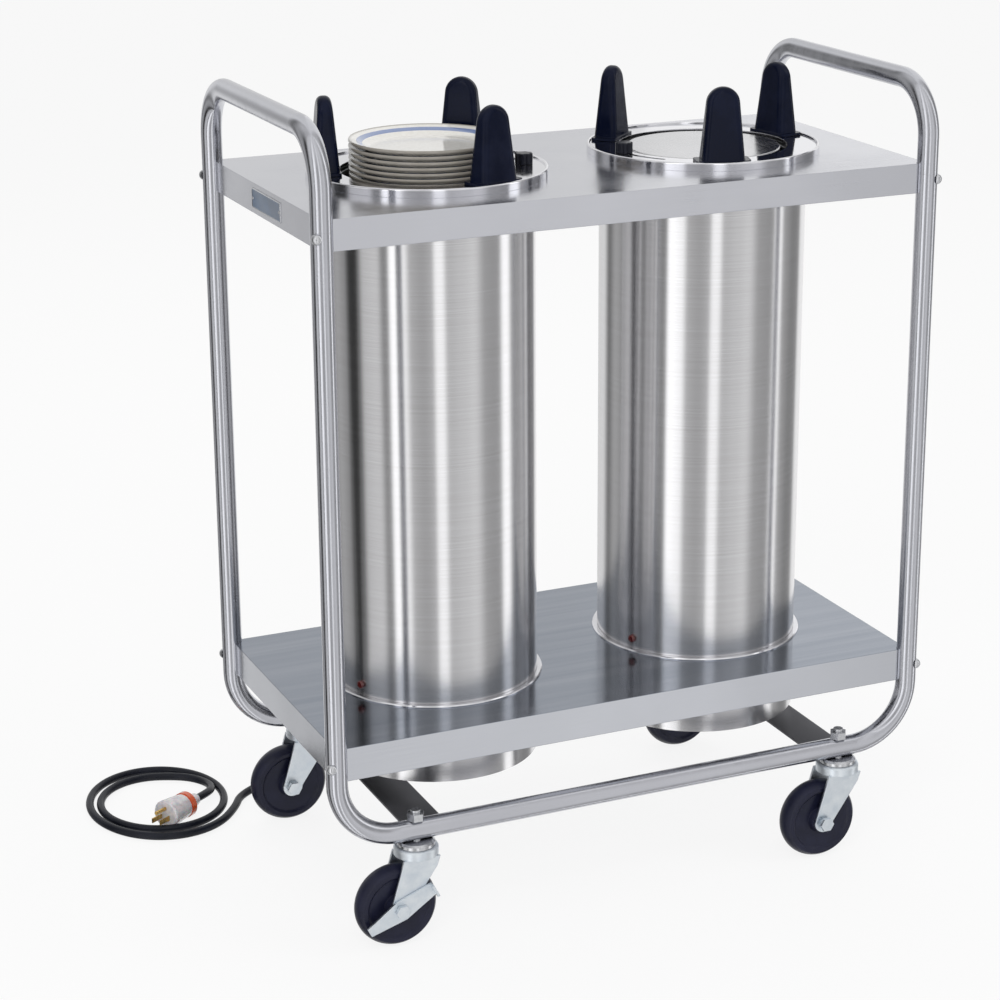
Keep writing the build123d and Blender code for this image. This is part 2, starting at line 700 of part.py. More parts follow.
with BuildPart() as anchors:
    for side, x in silo_x.items():
        with BuildSketch(Plane.XY.offset(anchor_bottom_z)):
            with Locations((x, 0)):
                Circle(silo_bore_radius - FIT_GAP)
                Circle(collar_bore_radius - 2, mode=Mode.SUBTRACT)
        extrude(amount=ANCHOR_THICK)
save(anchors, "spring_anchor_rings")


# Collars with their radial slots, adjuster rings, posts and clamps

collar_sheet = 1.5
skirt_radius = collar_radius - collar_sheet
plate_under_z = collar_top_z - collar_sheet
foot_z = collar_top_z + FIT_GAP
slot_gap = 0.5
pin_slot_width = PIN_DIA + 2 * PIN_GAP
clamp_stud_dia = 6.0
clamp_slot_width = clamp_stud_dia + 2 * PIN_GAP

for side, x in silo_x.items():
    with BuildPart() as collar:
        with BuildSketch(upright_plane(x)):
            with BuildLine():
                bead_z = collar_top_z + COLLAR_BEAD - COLLAR_BEAD_WIDTH / 2
                bead_in = collar_radius - COLLAR_BEAD_WIDTH
                bead_mid = collar_radius - COLLAR_BEAD_WIDTH / 2
                Line((collar_radius, TOP_DECK_Z), (collar_radius, bead_z))
                ThreePointArc((collar_radius, bead_z), (bead_mid, collar_top_z + COLLAR_BEAD), (bead_in, bead_z))
                Polyline(
                    (bead_in, bead_z),
                    (bead_in, collar_top_z),
                    (collar_bore_radius, collar_top_z),
                    (collar_bore_radius, collar_top_z - COLLAR_LIP),
                    (collar_bore_radius + collar_sheet, collar_top_z - COLLAR_LIP),
                    (collar_bore_radius + collar_sheet, plate_under_z),
                    (skirt_radius, plate_under_z),
                    (skirt_radius, TOP_DECK_Z),
                    (collar_radius, TOP_DECK_Z),
                )
            make_face()
        revolve(axis=vertical_axis(x))
        for angle in post_angles[side]:
            slot_middle = PIN_RADIUS - POST_TRAVEL / 2
            with BuildSketch(radial_plane(side, angle, slot_middle, plate_under_z)):
                SlotCenterToCenter(POST_TRAVEL + 2 * slot_gap, pin_slot_width)
            extrude(amount=collar_sheet, mode=Mode.SUBTRACT)
        with BuildSketch(Plane.XY.offset(plate_under_z)):
            with Locations((x, 0)):
                with BuildLine(mode=Mode.PRIVATE) as clamp_arc:
                    CenterArc((0, 0), CLAMP_RADIUS, clamp_angle[side] - 1, RING_SWING + 2)
                SlotArc(clamp_arc.wire(), clamp_slot_width)
        extrude(amount=collar_sheet, mode=Mode.SUBTRACT)
    save(collar, f"{side}_collar")

    with BuildPart() as adjuster_ring:
        with BuildSketch(Plane.XY.offset(ring_bottom_z)):
            with Locations((x, 0)):
                Circle(skirt_radius - 1.5)
                Circle(collar_bore_radius + collar_sheet + 1, mode=Mode.SUBTRACT)
        extrude(amount=RING_THICK)
        # Each cam slot runs inward as it goes back round the ring, so turning the ring draws the posts in.
        for angle in post_angles[side]:
            with BuildSketch(Plane.XY.offset(ring_bottom_z)):
                with Locations((x, 0)):
                    with BuildLine(mode=Mode.PRIVATE) as cam:
                        cam_points = []
                        for share in (-0.03, 0.5, 1.03):
                            turn = radians(angle - RING_SWING * share)
                            reach = PIN_RADIUS - POST_TRAVEL * share
                            cam_points.append((reach * cos(turn), reach * sin(turn)))
                        ThreePointArc(*cam_points)
                    SlotArc(cam.wire(), pin_slot_width)
            extrude(amount=RING_THICK, mode=Mode.SUBTRACT)
        with BuildSketch(radial_plane(side, clamp_angle[side], CLAMP_RADIUS, ring_bottom_z)):
            Circle(clamp_stud_dia / 2 + RUNNING_GAP)
        extrude(amount=RING_THICK, mode=Mode.SUBTRACT)
    save(adjuster_ring, f"{side}_adjuster_ring")

    with BuildPart() as clamp:
        with BuildSketch(radial_plane(side, clamp_angle[side], CLAMP_RADIUS, foot_z)):
            Circle(CLAMP_DIA / 2)
            with PolarLocations(CLAMP_DIA / 2 + 1.5, 8):
                Circle(3, mode=Mode.SUBTRACT)
        extrude(amount=CLAMP_HEIGHT)
        fillet(clamp.edges().group_by(Axis.Z)[-1], 1.5)
        with BuildSketch(radial_plane(side, clamp_angle[side], CLAMP_RADIUS, ring_bottom_z + FIT_GAP)):
            Circle(clamp_stud_dia / 2)
        extrude(amount=foot_z - ring_bottom_z)
    save(clamp, f"{side}_clamp_knob")

    for number, angle in enumerate(post_angles[side], 1):
        post_base_z = foot_z + FOOT_HEIGHT
        standing = radial_plane(side, angle, POST_RADIUS, post_base_z)
        facing = Plane(origin=standing.origin, x_dir=standing.y_dir, z_dir=standing.x_dir)
        edgewise = Plane(origin=standing.origin, x_dir=standing.x_dir, z_dir=-standing.y_dir)
        with BuildPart() as post:
            with BuildSketch(facing):
                with BuildLine():
                    # The sides lean in until they touch the round top.
                    wide, narrow = POST_WIDTH / 2, POST_TOP_WIDTH / 2
                    center = POST_HEIGHT - narrow
                    lean = acos(narrow / hypot(wide, center)) - atan2(center, wide)
                    touch_x, touch_y = narrow * cos(lean), center + narrow * sin(lean)
                    Polyline((-touch_x, touch_y), (-wide, 0), (wide, 0), (touch_x, touch_y))
                    ThreePointArc((touch_x, touch_y), (0, POST_HEIGHT), (-touch_x, touch_y))
                make_face()
            extrude(amount=POST_DEPTH, both=True)
            with BuildSketch(edgewise):
                with BuildLine():
                    thick, thin = POST_DEPTH / 2, POST_TOP_DEPTH / 2
                    Polyline((-thin, POST_HEIGHT), (-thick, 0), (thick, 0), (thin, POST_HEIGHT), close=True)
                make_face()
            extrude(amount=POST_WIDTH, both=True, mode=Mode.INTERSECT)
            fillet(post.edges().filter_by_position(Axis.Z, post_base_z + 1, post_base_z + POST_HEIGHT + 1),
                   POST_EDGE)
            with BuildSketch(Plane(origin=standing.origin - FOOT_HEIGHT * standing.z_dir,
                                   x_dir=standing.x_dir, z_dir=standing.z_dir)):
                RectangleRounded(FOOT_DEPTH, FOOT_LENGTH, 6)
            extrude(amount=FOOT_HEIGHT)
            with BuildSketch(radial_plane(side, angle, PIN_RADIUS, ring_bottom_z + FIT_GAP)):
                Circle(PIN_DIA / 2)
            extrude(amount=foot_z - ring_bottom_z)
        save(post, f"{side}_guide_post_{number}")


# Guide rods, carriers and springs

guide_turn = 360 / GUIDE_COUNT
rod_start = {side: post_angles[side][0] for side in silo_x}
spring_start = {side: rod_start[side] + guide_turn / 2 for side in silo_x}
carrier_top_z = {"left": TOP_DECK_Z + CARRIER_TOP - LEFT_CARRIER_SINK, "right": TOP_DECK_Z + CARRIER_TOP}

with BuildPart() as rods:
    for side, x in silo_x.items():
        with BuildSketch(Plane.XY.offset(liner_bottom_z)):
            with Locations((x, 0)):
                with PolarLocations(ROD_RADIUS, GUIDE_COUNT, start_angle=rod_start[side]):
                    Circle(ROD_DIA / 2)
        extrude(amount=anchor_bottom_z - liner_bottom_z)
save(rods, "guide_rods")

for side, x in silo_x.items():
    platform_z = carrier_top_z[side]
    lower_z = platform_z - CARRIER_DROP
    with BuildPart() as carrier:
        with BuildSketch(Plane.XY.offset(platform_z - CARRIER_RIM)):
            with Locations((x, 0)):
                Circle(CARRIER_DIA / 2)
        extrude(amount=CARRIER_RIM)
        fillet(carrier.edges().group_by(Axis.Z)[-1], CARRIER_SHEET)
        with BuildSketch(Plane.XY.offset(platform_z - CARRIER_RIM)):
            with Locations((x, 0)):
                Circle(CARRIER_DIA / 2 - CARRIER_SHEET)
        extrude(amount=CARRIER_RIM - CARRIER_SHEET, mode=Mode.SUBTRACT)
        with BuildSketch(Plane.XY.offset(lower_z)):
            with Locations((x, 0)):
                Circle(CARRIER_RING_OD / 2)
                Circle(CARRIER_RING_BORE / 2, mode=Mode.SUBTRACT)
        extrude(amount=CARRIER_RING_THICK)
        leg_radius = CARRIER_DIA / 2 - CARRIER_SHEET - CARRIER_LEG_THICK / 2
        with BuildSketch(Plane.XY.offset(lower_z)):
            with Locations((x, 0)):
                with PolarLocations(leg_radius, GUIDE_COUNT, start_angle=rod_start[side]):
                    Rectangle(CARRIER_LEG_THICK, CARRIER_LEG_WIDTH)
        extrude(amount=CARRIER_DROP - CARRIER_SHEET / 2)
        with BuildSketch(Plane.XY.offset(lower_z)):
            with Locations((x, 0)):
                with PolarLocations(ROD_RADIUS, GUIDE_COUNT, start_angle=rod_start[side]):
                    Circle(BUSH_OD / 2)
        extrude(amount=BUSH_HEIGHT)
        with BuildSketch(Plane.XY.offset(lower_z)):
            with Locations((x, 0)):
                with PolarLocations(ROD_RADIUS, GUIDE_COUNT, start_angle=rod_start[side]):
                    Circle(ROD_DIA / 2 + ROD_GAP)
        extrude(amount=BUSH_HEIGHT, mode=Mode.SUBTRACT)
    save(carrier, f"{side}_carrier")

    spring_bottom_z = lower_z + CARRIER_RING_THICK + FIT_GAP
    with BuildPart() as springs:
        with BuildSketch(Plane.XY.offset(spring_bottom_z)):
            with Locations((x, 0)):
                with PolarLocations(SPRING_RADIUS, GUIDE_COUNT, start_angle=spring_start[side]):
                    Circle(SPRING_OD / 2)
                    Circle(SPRING_BORE / 2, mode=Mode.SUBTRACT)
        extrude(amount=anchor_bottom_z - FIT_GAP - spring_bottom_z)
    save(springs, f"{side}_springs")


# Plates, nested on the left carrier

def plate_section(base_z):
    """Half a coupe plate: a flat well, a rising curve and a thinner rim."""
    body = PLATE_PITCH - PLATE_GAP
    rim = PLATE_DIA / 2
    with BuildLine() as outline:
        Line((0, base_z), (PLATE_WELL, base_z))
        Spline((PLATE_WELL, base_z), (rim - 12, base_z + PLATE_RISE * 0.62), (rim - 1, base_z + PLATE_RISE),
               tangents=((1, 0), (1, 0.45)))
        ThreePointArc((rim - 1, base_z + PLATE_RISE), (rim, base_z + PLATE_RISE + PLATE_EDGE / 2),
                      (rim - 1, base_z + PLATE_RISE + PLATE_EDGE))
        Spline((rim - 1, base_z + PLATE_RISE + PLATE_EDGE), (rim - 12, base_z + PLATE_RISE * 0.62 + body - 1),
               (PLATE_WELL, base_z + body), tangents=((-1, -0.45), (-1, 0)))
        Line((PLATE_WELL, base_z + body), (0, base_z + body))
        Line((0, base_z + body), (0, base_z))
    make_face(outline.edges())


stack_z = carrier_top_z["left"] + FIT_GAP
for node, numbers in (("plate_stack", range(PLATE_COUNT - 1)), ("top_plate", (PLATE_COUNT - 1,))):
    with BuildPart() as plates:
        for number in numbers:
            with BuildSketch(upright_plane(silo_x["left"])):
                plate_section(stack_z + number * PLATE_PITCH)
            revolve(axis=vertical_axis(silo_x["left"]))
    save(plates, node)


# Heating elements, control boxes, thermostats and wiring

with BuildPart() as elements:
    for x in silo_x.values():
        with BuildLine():
            CenterArc((x, 0, ELEMENT_Z), ELEMENT_RADIUS, 90 + ELEMENT_GAP_ANGLE / 2, 360 - ELEMENT_GAP_ANGLE)
        start = radians(90 + ELEMENT_GAP_ANGLE / 2)
        origin = (x + ELEMENT_RADIUS * cos(start), ELEMENT_RADIUS * sin(start), ELEMENT_Z)
        with BuildSketch(Plane(origin=origin, z_dir=(-sin(start), cos(start), 0))):
            Circle(ELEMENT_DIA / 2)
        sweep()
        # Three feet carry the ring off the base pan.
        with BuildSketch(Plane.XY.offset(pan_floor_z)):
            with Locations((x, 0)):
                with PolarLocations(ELEMENT_RADIUS, GUIDE_COUNT, start_angle=-90):
                    Circle(ELEMENT_DIA / 3)
        extrude(amount=ELEMENT_Z - pan_floor_z)
save(elements, "heating_elements")

thermostat_wide, thermostat_deep, thermostat_high = THERMOSTAT_SIZE
knob_hole_dia = SHAFT_DIA + 2
lead_exit_dia = GLAND_DIA - 6
inner_face_y = BOX_FACE_Y - BOX_SHEET

with BuildPart() as boxes:
    for side, x in silo_x.items():
        with BuildSketch(Plane.XY.offset(BOX_BOTTOM_Z)):
            with Locations((x, BOX_FACE_Y / 2)):
                Rectangle(BOX_WIDTH, BOX_FACE_Y)
        extrude(amount=BOX_TOP_Z - BOX_BOTTOM_Z)
        with BuildSketch(Plane.XY.offset(BOX_BOTTOM_Z + BOX_SHEET)):
            with Locations((x, inner_face_y / 2)):
                Rectangle(BOX_WIDTH - 2 * BOX_SHEET, inner_face_y)
        extrude(amount=BOX_TOP_Z - BOX_BOTTOM_Z - 2 * BOX_SHEET, mode=Mode.SUBTRACT)
        with BuildSketch(Plane.XY.offset(BOX_BOTTOM_Z)):
            with Locations((x, 0)):
                Circle(silo_radius)
        extrude(amount=BOX_TOP_Z - BOX_BOTTOM_Z, mode=Mode.SUBTRACT)
        with BuildSketch(Plane(origin=(x + KNOB_OFFSET, BOX_FACE_Y, box_center_z), z_dir=(0, -1, 0))):
            Circle(knob_hole_dia / 2)
        extrude(amount=BOX_SHEET, mode=Mode.SUBTRACT)
        # The conduit enters each box on the side that faces the other silo.
        conduit_side = x + (BOX_WIDTH / 2 if side == "left" else -BOX_WIDTH / 2)
        with BuildSketch(Plane(origin=(conduit_side, BOX_FACE_Y - 14, box_center_z), z_dir=(1, 0, 0))):
            Circle(CONDUIT_DIA / 2 - 2)
        extrude(amount=2 * BOX_SHEET, both=True, mode=Mode.SUBTRACT)
    with BuildSketch(Plane(origin=(silo_x["left"] + GLAND_OFFSET, BOX_FACE_Y, box_center_z), z_dir=(0, -1, 0))):
        Circle(lead_exit_dia / 2)
    extrude(amount=BOX_SHEET, mode=Mode.SUBTRACT)
save(boxes, "control_boxes")

with BuildPart() as thermostats:
    for x in silo_x.values():
        knob_x = x + KNOB_OFFSET
        with BuildSketch(Plane(origin=(knob_x, inner_face_y, box_center_z), x_dir=(1, 0, 0), z_dir=(0, -1, 0))):
            Rectangle(thermostat_wide, thermostat_high)
        extrude(amount=thermostat_deep)
        with BuildSketch(Plane(origin=(knob_x, inner_face_y, box_center_z), z_dir=(0, 1, 0))):
            Circle(SHAFT_DIA / 2)
        extrude(amount=BOX_SHEET + KNOB_GAP + KNOB_HEIGHT / 2)
save(thermostats, "thermostats")

for side, x in silo_x.items():
    with BuildPart() as knob:
        back = Plane(origin=(x + KNOB_OFFSET, BOX_FACE_Y + KNOB_GAP, box_center_z), x_dir=(-1, 0, 0), z_dir=(0, 1, 0))
        with BuildSketch(back):
            Circle(KNOB_DIA / 2)
        extrude(amount=KNOB_HEIGHT / 3)
        with BuildSketch(back.offset(KNOB_HEIGHT / 3)):
            Circle(KNOB_DIA / 2 - 3)
        extrude(amount=KNOB_HEIGHT * 2 / 3, taper=6)
        fillet(knob.edges().group_by(Axis.Y)[-1], 1)
        # A pointer rib stands on the skirt, at the top of the dial when it is off.
        with BuildSketch(back.offset(KNOB_HEIGHT / 3)):
            with Locations((0, KNOB_DIA / 2 - 3)):
                Rectangle(2, 3)
        extrude(amount=1.5)
        with BuildSketch(back):
            Circle(SHAFT_DIA / 2 + RUNNING_GAP)
        extrude(amount=KNOB_HEIGHT / 2 + 0.5, mode=Mode.SUBTRACT)
    save(knob, f"{side}_thermostat_knob")

with BuildPart() as lamps:
    for side in silo_x:
        skin = lamp_plane(side)
        with BuildSketch(skin.offset(FIT_GAP)):
            Circle(LAMP_DIA / 2)
        extrude(amount=LAMP_HEIGHT)
        fillet(lamps.edges().filter_by(GeomType.CIRCLE).sort_by_distance(skin.offset(LAMP_HEIGHT + 1).origin)[0], 2)
        with BuildSketch(skin.offset(FIT_GAP)):
            Circle(LAMP_DIA / 4 - FIT_GAP)
        extrude(amount=-4 * SILO_WALL)
save(lamps, "pilot_lamps")

with BuildPart() as conduit:
    conduit_start = silo_x["left"] + BOX_WIDTH / 2
    conduit_end = silo_x["right"] - BOX_WIDTH / 2
    conduit_y = BOX_FACE_Y - 14
    with BuildSketch(Plane(origin=(conduit_start, conduit_y, box_center_z), z_dir=(1, 0, 0))):
        Circle(CONDUIT_DIA / 2)
        Circle(CONDUIT_DIA / 2 - 1.5, mode=Mode.SUBTRACT)
    extrude(amount=conduit_end - conduit_start)
    for end_x, way in ((conduit_start, 1), (conduit_end, -1)):
        with BuildSketch(Plane(origin=(end_x, conduit_y, box_center_z), z_dir=(way, 0, 0))):
            RegularPolygon(radius=CONDUIT_DIA / 2 + 3, side_count=6, major_radius=False)
            Circle(CONDUIT_DIA / 2 - 1.5, mode=Mode.SUBTRACT)
        extrude(amount=9)
save(conduit, "wiring_conduit")

gland_x = silo_x["left"] + GLAND_OFFSET
cord_exit_y = BOX_FACE_Y + GLAND_NUT + RELIEF_LENGTH
cord_radius = CORD_DIA / 2
with BuildPart() as gland:
    gland_face = Plane(origin=(gland_x, BOX_FACE_Y, box_center_z), x_dir=(-1, 0, 0), z_dir=(0, 1, 0))
    with BuildSketch(gland_face):
        RegularPolygon(radius=GLAND_DIA / 2, side_count=6, major_radius=False)
    extrude(amount=GLAND_NUT)
    with BuildSketch(gland_face.offset(GLAND_NUT)):
        Circle(GLAND_DIA / 2 - 2)
    with BuildSketch(gland_face.offset(GLAND_NUT + RELIEF_LENGTH)):
        Circle(cord_radius + 1.2)
    loft()
    with BuildSketch(gland_face.offset(-3)):
        Circle(lead_exit_dia / 2 - FIT_GAP)
    extrude(amount=3)
save(gland, "cord_gland")


# Supply cord

cord_z = cord_radius + CORD_LIFT


def coil_point(quarter):
    """A point of the coil, and its direction of travel, after so many quarter turns clockwise."""
    turn = radians(COIL_START - 90 * quarter)
    turns = quarter / 4
    half_x = COIL_HALF_X - COIL_STEP_X * turns
    half_y = COIL_HALF_Y - COIL_STEP_Y * turns
    shrink_x = COIL_STEP_X / (2 * pi)
    shrink_y = COIL_STEP_Y / (2 * pi)
    point = Vector(COIL_X + half_x * cos(turn), COIL_Y + half_y * sin(turn), cord_z)
    travel = Vector(half_x * sin(turn) - shrink_x * cos(turn), -half_y * cos(turn) - shrink_y * sin(turn), 0)
    return point, travel.normalized()


def biarc(start, start_way, finish, finish_way):
    """The middle, and the direction there, of two arcs from start to finish in the given directions."""
    chord = finish - start
    ways = start_way + finish_way
    across = 2 * (1 - start_way.dot(finish_way))
    reach = (sqrt(chord.dot(ways) ** 2 + across * chord.dot(chord)) - chord.dot(ways)) / across
    near = start + start_way * reach
    far = finish - finish_way * reach
    return (near + far) * 0.5, (far - near).normalized()


def arc_radius(start, way, finish):
    chord = finish - start
    bend = acos(max(-1, min(1, way.dot(chord.normalized()))))
    return chord.length / (2 * sin(bend))


coil_radii = []
with BuildPart() as coil:
    with BuildLine() as coil_route:
        for quarter in range(COIL_QUARTERS):
            start, start_way = coil_point(quarter)
            finish, finish_way = coil_point(quarter + 1)
            middle, middle_way = biarc(start, start_way, finish, finish_way)
            TangentArc(start, middle, tangent=start_way)
            TangentArc(middle, finish, tangent=middle_way)
            coil_radii += [arc_radius(start, start_way, middle), arc_radius(middle, middle_way, finish)]
    with BuildSketch(Plane(origin=coil_route.line @ 0, z_dir=coil_route.line % 0)):
        Circle(cord_radius)
    sweep()
save(coil, "cord_coil")

coil_line = coil_route.wire()
samples = [coil_line @ (i / 700) for i in range(701)]
least_gap = min(
    (samples[i] - samples[j]).length
    for i in range(701)
    for j in range(i + 80, 701)
) - CORD_DIA
print("coil length", round(coil_line.length), "mm, least radius", round(min(coil_radii), 1),
      "least gap to itself", round(least_gap, 2))


def corner_radii(points):
    """The largest arc that each inner corner of a route allows."""
    radii = []
    for before, corner, after in zip(points, points[1:], points[2:]):
        incoming = Vector(*corner) - Vector(*before)
        outgoing = Vector(*after) - Vector(*corner)
        bend = radians(incoming.get_angle(outgoing))
        radii.append(0.45 * min(incoming.length, outgoing.length) / tan(bend / 2))
    return radii


def lead(points, node):
    radii = corner_radii(points)
    with BuildPart() as cord:
        with BuildLine() as route:
            FilletPolyline(*points, radius=radii)
        with BuildSketch(Plane(origin=route.line @ 0, z_dir=route.line % 0)):
            Circle(cord_radius)
        sweep()
    save(cord, node)
    route_length = route.wire().length
    straight = pi * cord_radius ** 2 * route_length
    print(node, "length", round(route_length), "mm, radii", [round(r) for r in radii],
          "volume share", round(cord.part.volume / straight, 4))


coil_start, start_way = coil_point(0)
lead(
    [(gland_x, cord_exit_y, box_center_z), (gland_x, cord_exit_y + GLAND_RUN, box_center_z), *LEAD_DROP]
    + [(x, y, cord_z) for x, y in LEAD_FLOOR]
    + [tuple(coil_start - start_way * CORD_RUN), tuple(coil_start)],
    "supply_lead",
)

plug_slope = radians(PLUG_TILT)
plug_way = Vector(cos(radians(PLUG_HEADING)) * cos(plug_slope),
                  sin(radians(PLUG_HEADING)) * cos(plug_slope), sin(plug_slope))
plug_crown = PLUG_LENGTH - 6.0  # where the plug is widest and touches the floor
plug_back_z = PLUG_RADIUS * cos(plug_slope) - plug_crown * sin(plug_slope) + CORD_LIFT
plug_back = Vector(*PLUG_BACK, plug_back_z)
coil_end, end_way = coil_point(COIL_QUARTERS)
lead(
    [tuple(coil_end), tuple(coil_end + end_way * PLUG_RUN), *PLUG_TURN]
    + [tuple(plug_back - plug_way * PLUG_RUN), tuple(plug_back)],
    "plug_lead",
)

plug_plane = Plane(origin=plug_back, x_dir=plug_way, z_dir=plug_way.cross(Vector(0, 0, 1)))
ring_start, ring_end = PLUG_NOSE, PLUG_NOSE + PLUG_RING
with BuildPart() as plug:
    with BuildSketch(plug_plane):
        with BuildLine():
            Polyline(
                (0, 0),
                (0, PLUG_NOSE_RADIUS),
                (ring_start, PLUG_NOSE_RADIUS + 4),
                (ring_start, PLUG_RING_RADIUS),
                (ring_end, PLUG_RING_RADIUS),
                (ring_end, PLUG_RING_RADIUS - 1),
                (plug_crown, PLUG_RADIUS),
                (PLUG_LENGTH - 2, PLUG_RADIUS),
                (PLUG_LENGTH, PLUG_RADIUS - 2),
                (PLUG_LENGTH, 0),
                close=True,
            )
        make_face()
    revolve(axis=Axis(plug_back, plug_way))
save(plug, "plug")

plug_side = plug_way.cross(Vector(0, 0, 1))
plug_face = Plane(origin=plug_back + plug_way * PLUG_LENGTH, x_dir=plug_side, z_dir=plug_way)
with BuildPart() as prongs:
    with BuildSketch(plug_face):
        with Locations((-BLADE_SPACING / 2, 3), (BLADE_SPACING / 2, 3)):
            Rectangle(BLADE_THICK, BLADE_WIDTH)
        with Locations((0, 3 - EARTH_PIN_OFFSET)):
            Circle(EARTH_PIN_DIA / 2)
    extrude(amount=PRONG_LENGTH)
save(prongs, "plug_prongs")
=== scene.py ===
"""The looks of a heated plate dispenser: finishes, supply cord, small trim, studio and camera."""

from math import atan2, cos, pi, radians, sin

import bmesh
import bpy
from mathutils import Matrix, Vector


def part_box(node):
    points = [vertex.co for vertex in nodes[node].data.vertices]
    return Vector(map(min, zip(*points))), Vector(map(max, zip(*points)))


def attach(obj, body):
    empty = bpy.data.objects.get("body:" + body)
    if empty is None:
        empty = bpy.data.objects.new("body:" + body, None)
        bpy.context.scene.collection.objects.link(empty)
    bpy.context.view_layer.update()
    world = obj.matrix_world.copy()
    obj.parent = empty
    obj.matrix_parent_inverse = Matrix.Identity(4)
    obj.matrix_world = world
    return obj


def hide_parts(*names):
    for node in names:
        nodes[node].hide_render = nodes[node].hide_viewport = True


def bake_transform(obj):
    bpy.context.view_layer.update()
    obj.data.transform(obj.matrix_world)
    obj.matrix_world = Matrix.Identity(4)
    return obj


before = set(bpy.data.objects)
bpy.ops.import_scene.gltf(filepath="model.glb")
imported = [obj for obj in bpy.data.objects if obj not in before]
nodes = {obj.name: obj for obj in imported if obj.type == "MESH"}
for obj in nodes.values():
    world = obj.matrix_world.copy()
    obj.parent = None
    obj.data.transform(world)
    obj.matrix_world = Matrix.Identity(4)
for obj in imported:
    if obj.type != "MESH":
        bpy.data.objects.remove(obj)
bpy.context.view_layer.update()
ROOT = "trolley"


# Places taken from the frame

silo_axis = {}
for side in ("left", "right"):
    low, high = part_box(f"{side}_silo_shell")
    silo_axis[side] = (low + high) / 2
deck_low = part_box("top_deck")[0]
lower_deck_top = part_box("lower_deck")[1].z
gland_low, gland_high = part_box("cord_gland")


# Nodes that every finish is made of

def linear(red, green, blue):
    """A screen colour, each channel 0 to 255, as the shader's linear values."""
    def channel(value):
        value /= 255
        return value / 12.92 if value <= 0.04045 else ((value + 0.055) / 1.055) ** 2.4
    return channel(red), channel(green), channel(blue), 1.0


def new_finish(name, colour, roughness, metallic=0.0, **sockets):
    """A material and its shader, with the given values on the shader's own sockets."""
    material = bpy.data.materials.new(name)
    material.use_nodes = True
    shader = material.node_tree.nodes["Principled BSDF"]
    shader.inputs["Base Color"].default_value = colour
    shader.inputs["Roughness"].default_value = roughness
    shader.inputs["Metallic"].default_value = metallic
    for socket, value in sockets.items():
        shader.inputs[socket.replace("_", " ")].default_value = value
    return material, material.node_tree, shader


def object_place(tree, stretch=(1, 1, 1), centre=(0, 0, 0), turn=(0, 0, 0)):
    """Coordinates of the frame in metres, moved to a centre, turned and stretched."""
    coordinates = tree.nodes.new("ShaderNodeTexCoord").outputs["Object"]
    moved = tree.nodes.new("ShaderNodeVectorMath")
    moved.operation = "SUBTRACT"
    moved.inputs[1].default_value = centre
    tree.links.new(coordinates, moved.inputs[0])
    mapping = tree.nodes.new("ShaderNodeMapping")
    mapping.inputs["Rotation"].default_value = turn
    mapping.inputs["Scale"].default_value = stretch
    tree.links.new(moved.outputs[0], mapping.inputs["Vector"])
    return mapping.outputs["Vector"]


def noise(tree, place, scale, detail=3.0, roughness=0.55):
    texture = tree.nodes.new("ShaderNodeTexNoise")
    texture.inputs["Scale"].default_value = scale
    texture.inputs["Detail"].default_value = detail
    texture.inputs["Roughness"].default_value = roughness
    tree.links.new(place, texture.inputs["Vector"])
    return texture.outputs["Fac"]


def spread(tree, value, low, high, start=0.3, end=0.7):
    """Maps start to end onto low to high, and holds the ends."""
    ranged = tree.nodes.new("ShaderNodeMapRange")
    ranged.inputs["From Min"].default_value = start
    ranged.inputs["From Max"].default_value = end
    ranged.inputs["To Min"].default_value = low
    ranged.inputs["To Max"].default_value = high
    tree.links.new(value, ranged.inputs["Value"])
    return ranged.outputs["Result"]


def maths(tree, operation, first, second=None):
    node = tree.nodes.new("ShaderNodeMath")
    node.operation = operation
    for socket, value in zip(node.inputs, (first, second)):
        if value is None:
            continue
        if isinstance(value, (int, float)):
            socket.default_value = value
        else:
            tree.links.new(value, socket)
    return node.outputs[0]


def between(tree, value, low, high):
    """1 where the value lies between low and high, else 0."""
    above = maths(tree, "GREATER_THAN", value, low)
    return maths(tree, "MULTIPLY", above, maths(tree, "LESS_THAN", value, high))


def blend_colours(tree, share, first, second):
    """first where share is 0, second where it is 1; each is a colour or an output."""
    mix = tree.nodes.new("ShaderNodeMix")
    mix.data_type = "RGBA"
    tree.links.new(share, mix.inputs[0])
    for socket, value in ((mix.inputs[6], first), (mix.inputs[7], second)):
        if isinstance(value, tuple):
            socket.default_value = value
        else:
            tree.links.new(value, socket)
    return mix.outputs[2]


def relief(tree, shader, height, depth, strength=1.0, rounded=0.0):
    """Bumps of the given depth in metres, over edges that look rounded to a radius."""
    bump = tree.nodes.new("ShaderNodeBump")
    bump.inputs["Distance"].default_value = depth
    bump.inputs["Strength"].default_value = strength
    tree.links.new(height, bump.inputs["Height"])
    if rounded:
        edge = tree.nodes.new("ShaderNodeBevel")
        edge.samples = 4
        edge.inputs["Radius"].default_value = rounded
        tree.links.new(edge.outputs["Normal"], bump.inputs["Normal"])
    tree.links.new(bump.outputs["Normal"], shader.inputs["Normal"])


def radius_from(tree, centre):
    """The distance in the XY plane from a vertical axis, in metres."""
    parts = tree.nodes.new("ShaderNodeSeparateXYZ")
    tree.links.new(object_place(tree, centre=centre), parts.inputs[0])
    squares = [maths(tree, "POWER", parts.outputs[axis], 2) for axis in (0, 1)]
    return maths(tree, "SQRT", maths(tree, "ADD", *squares))


# Steel finishes

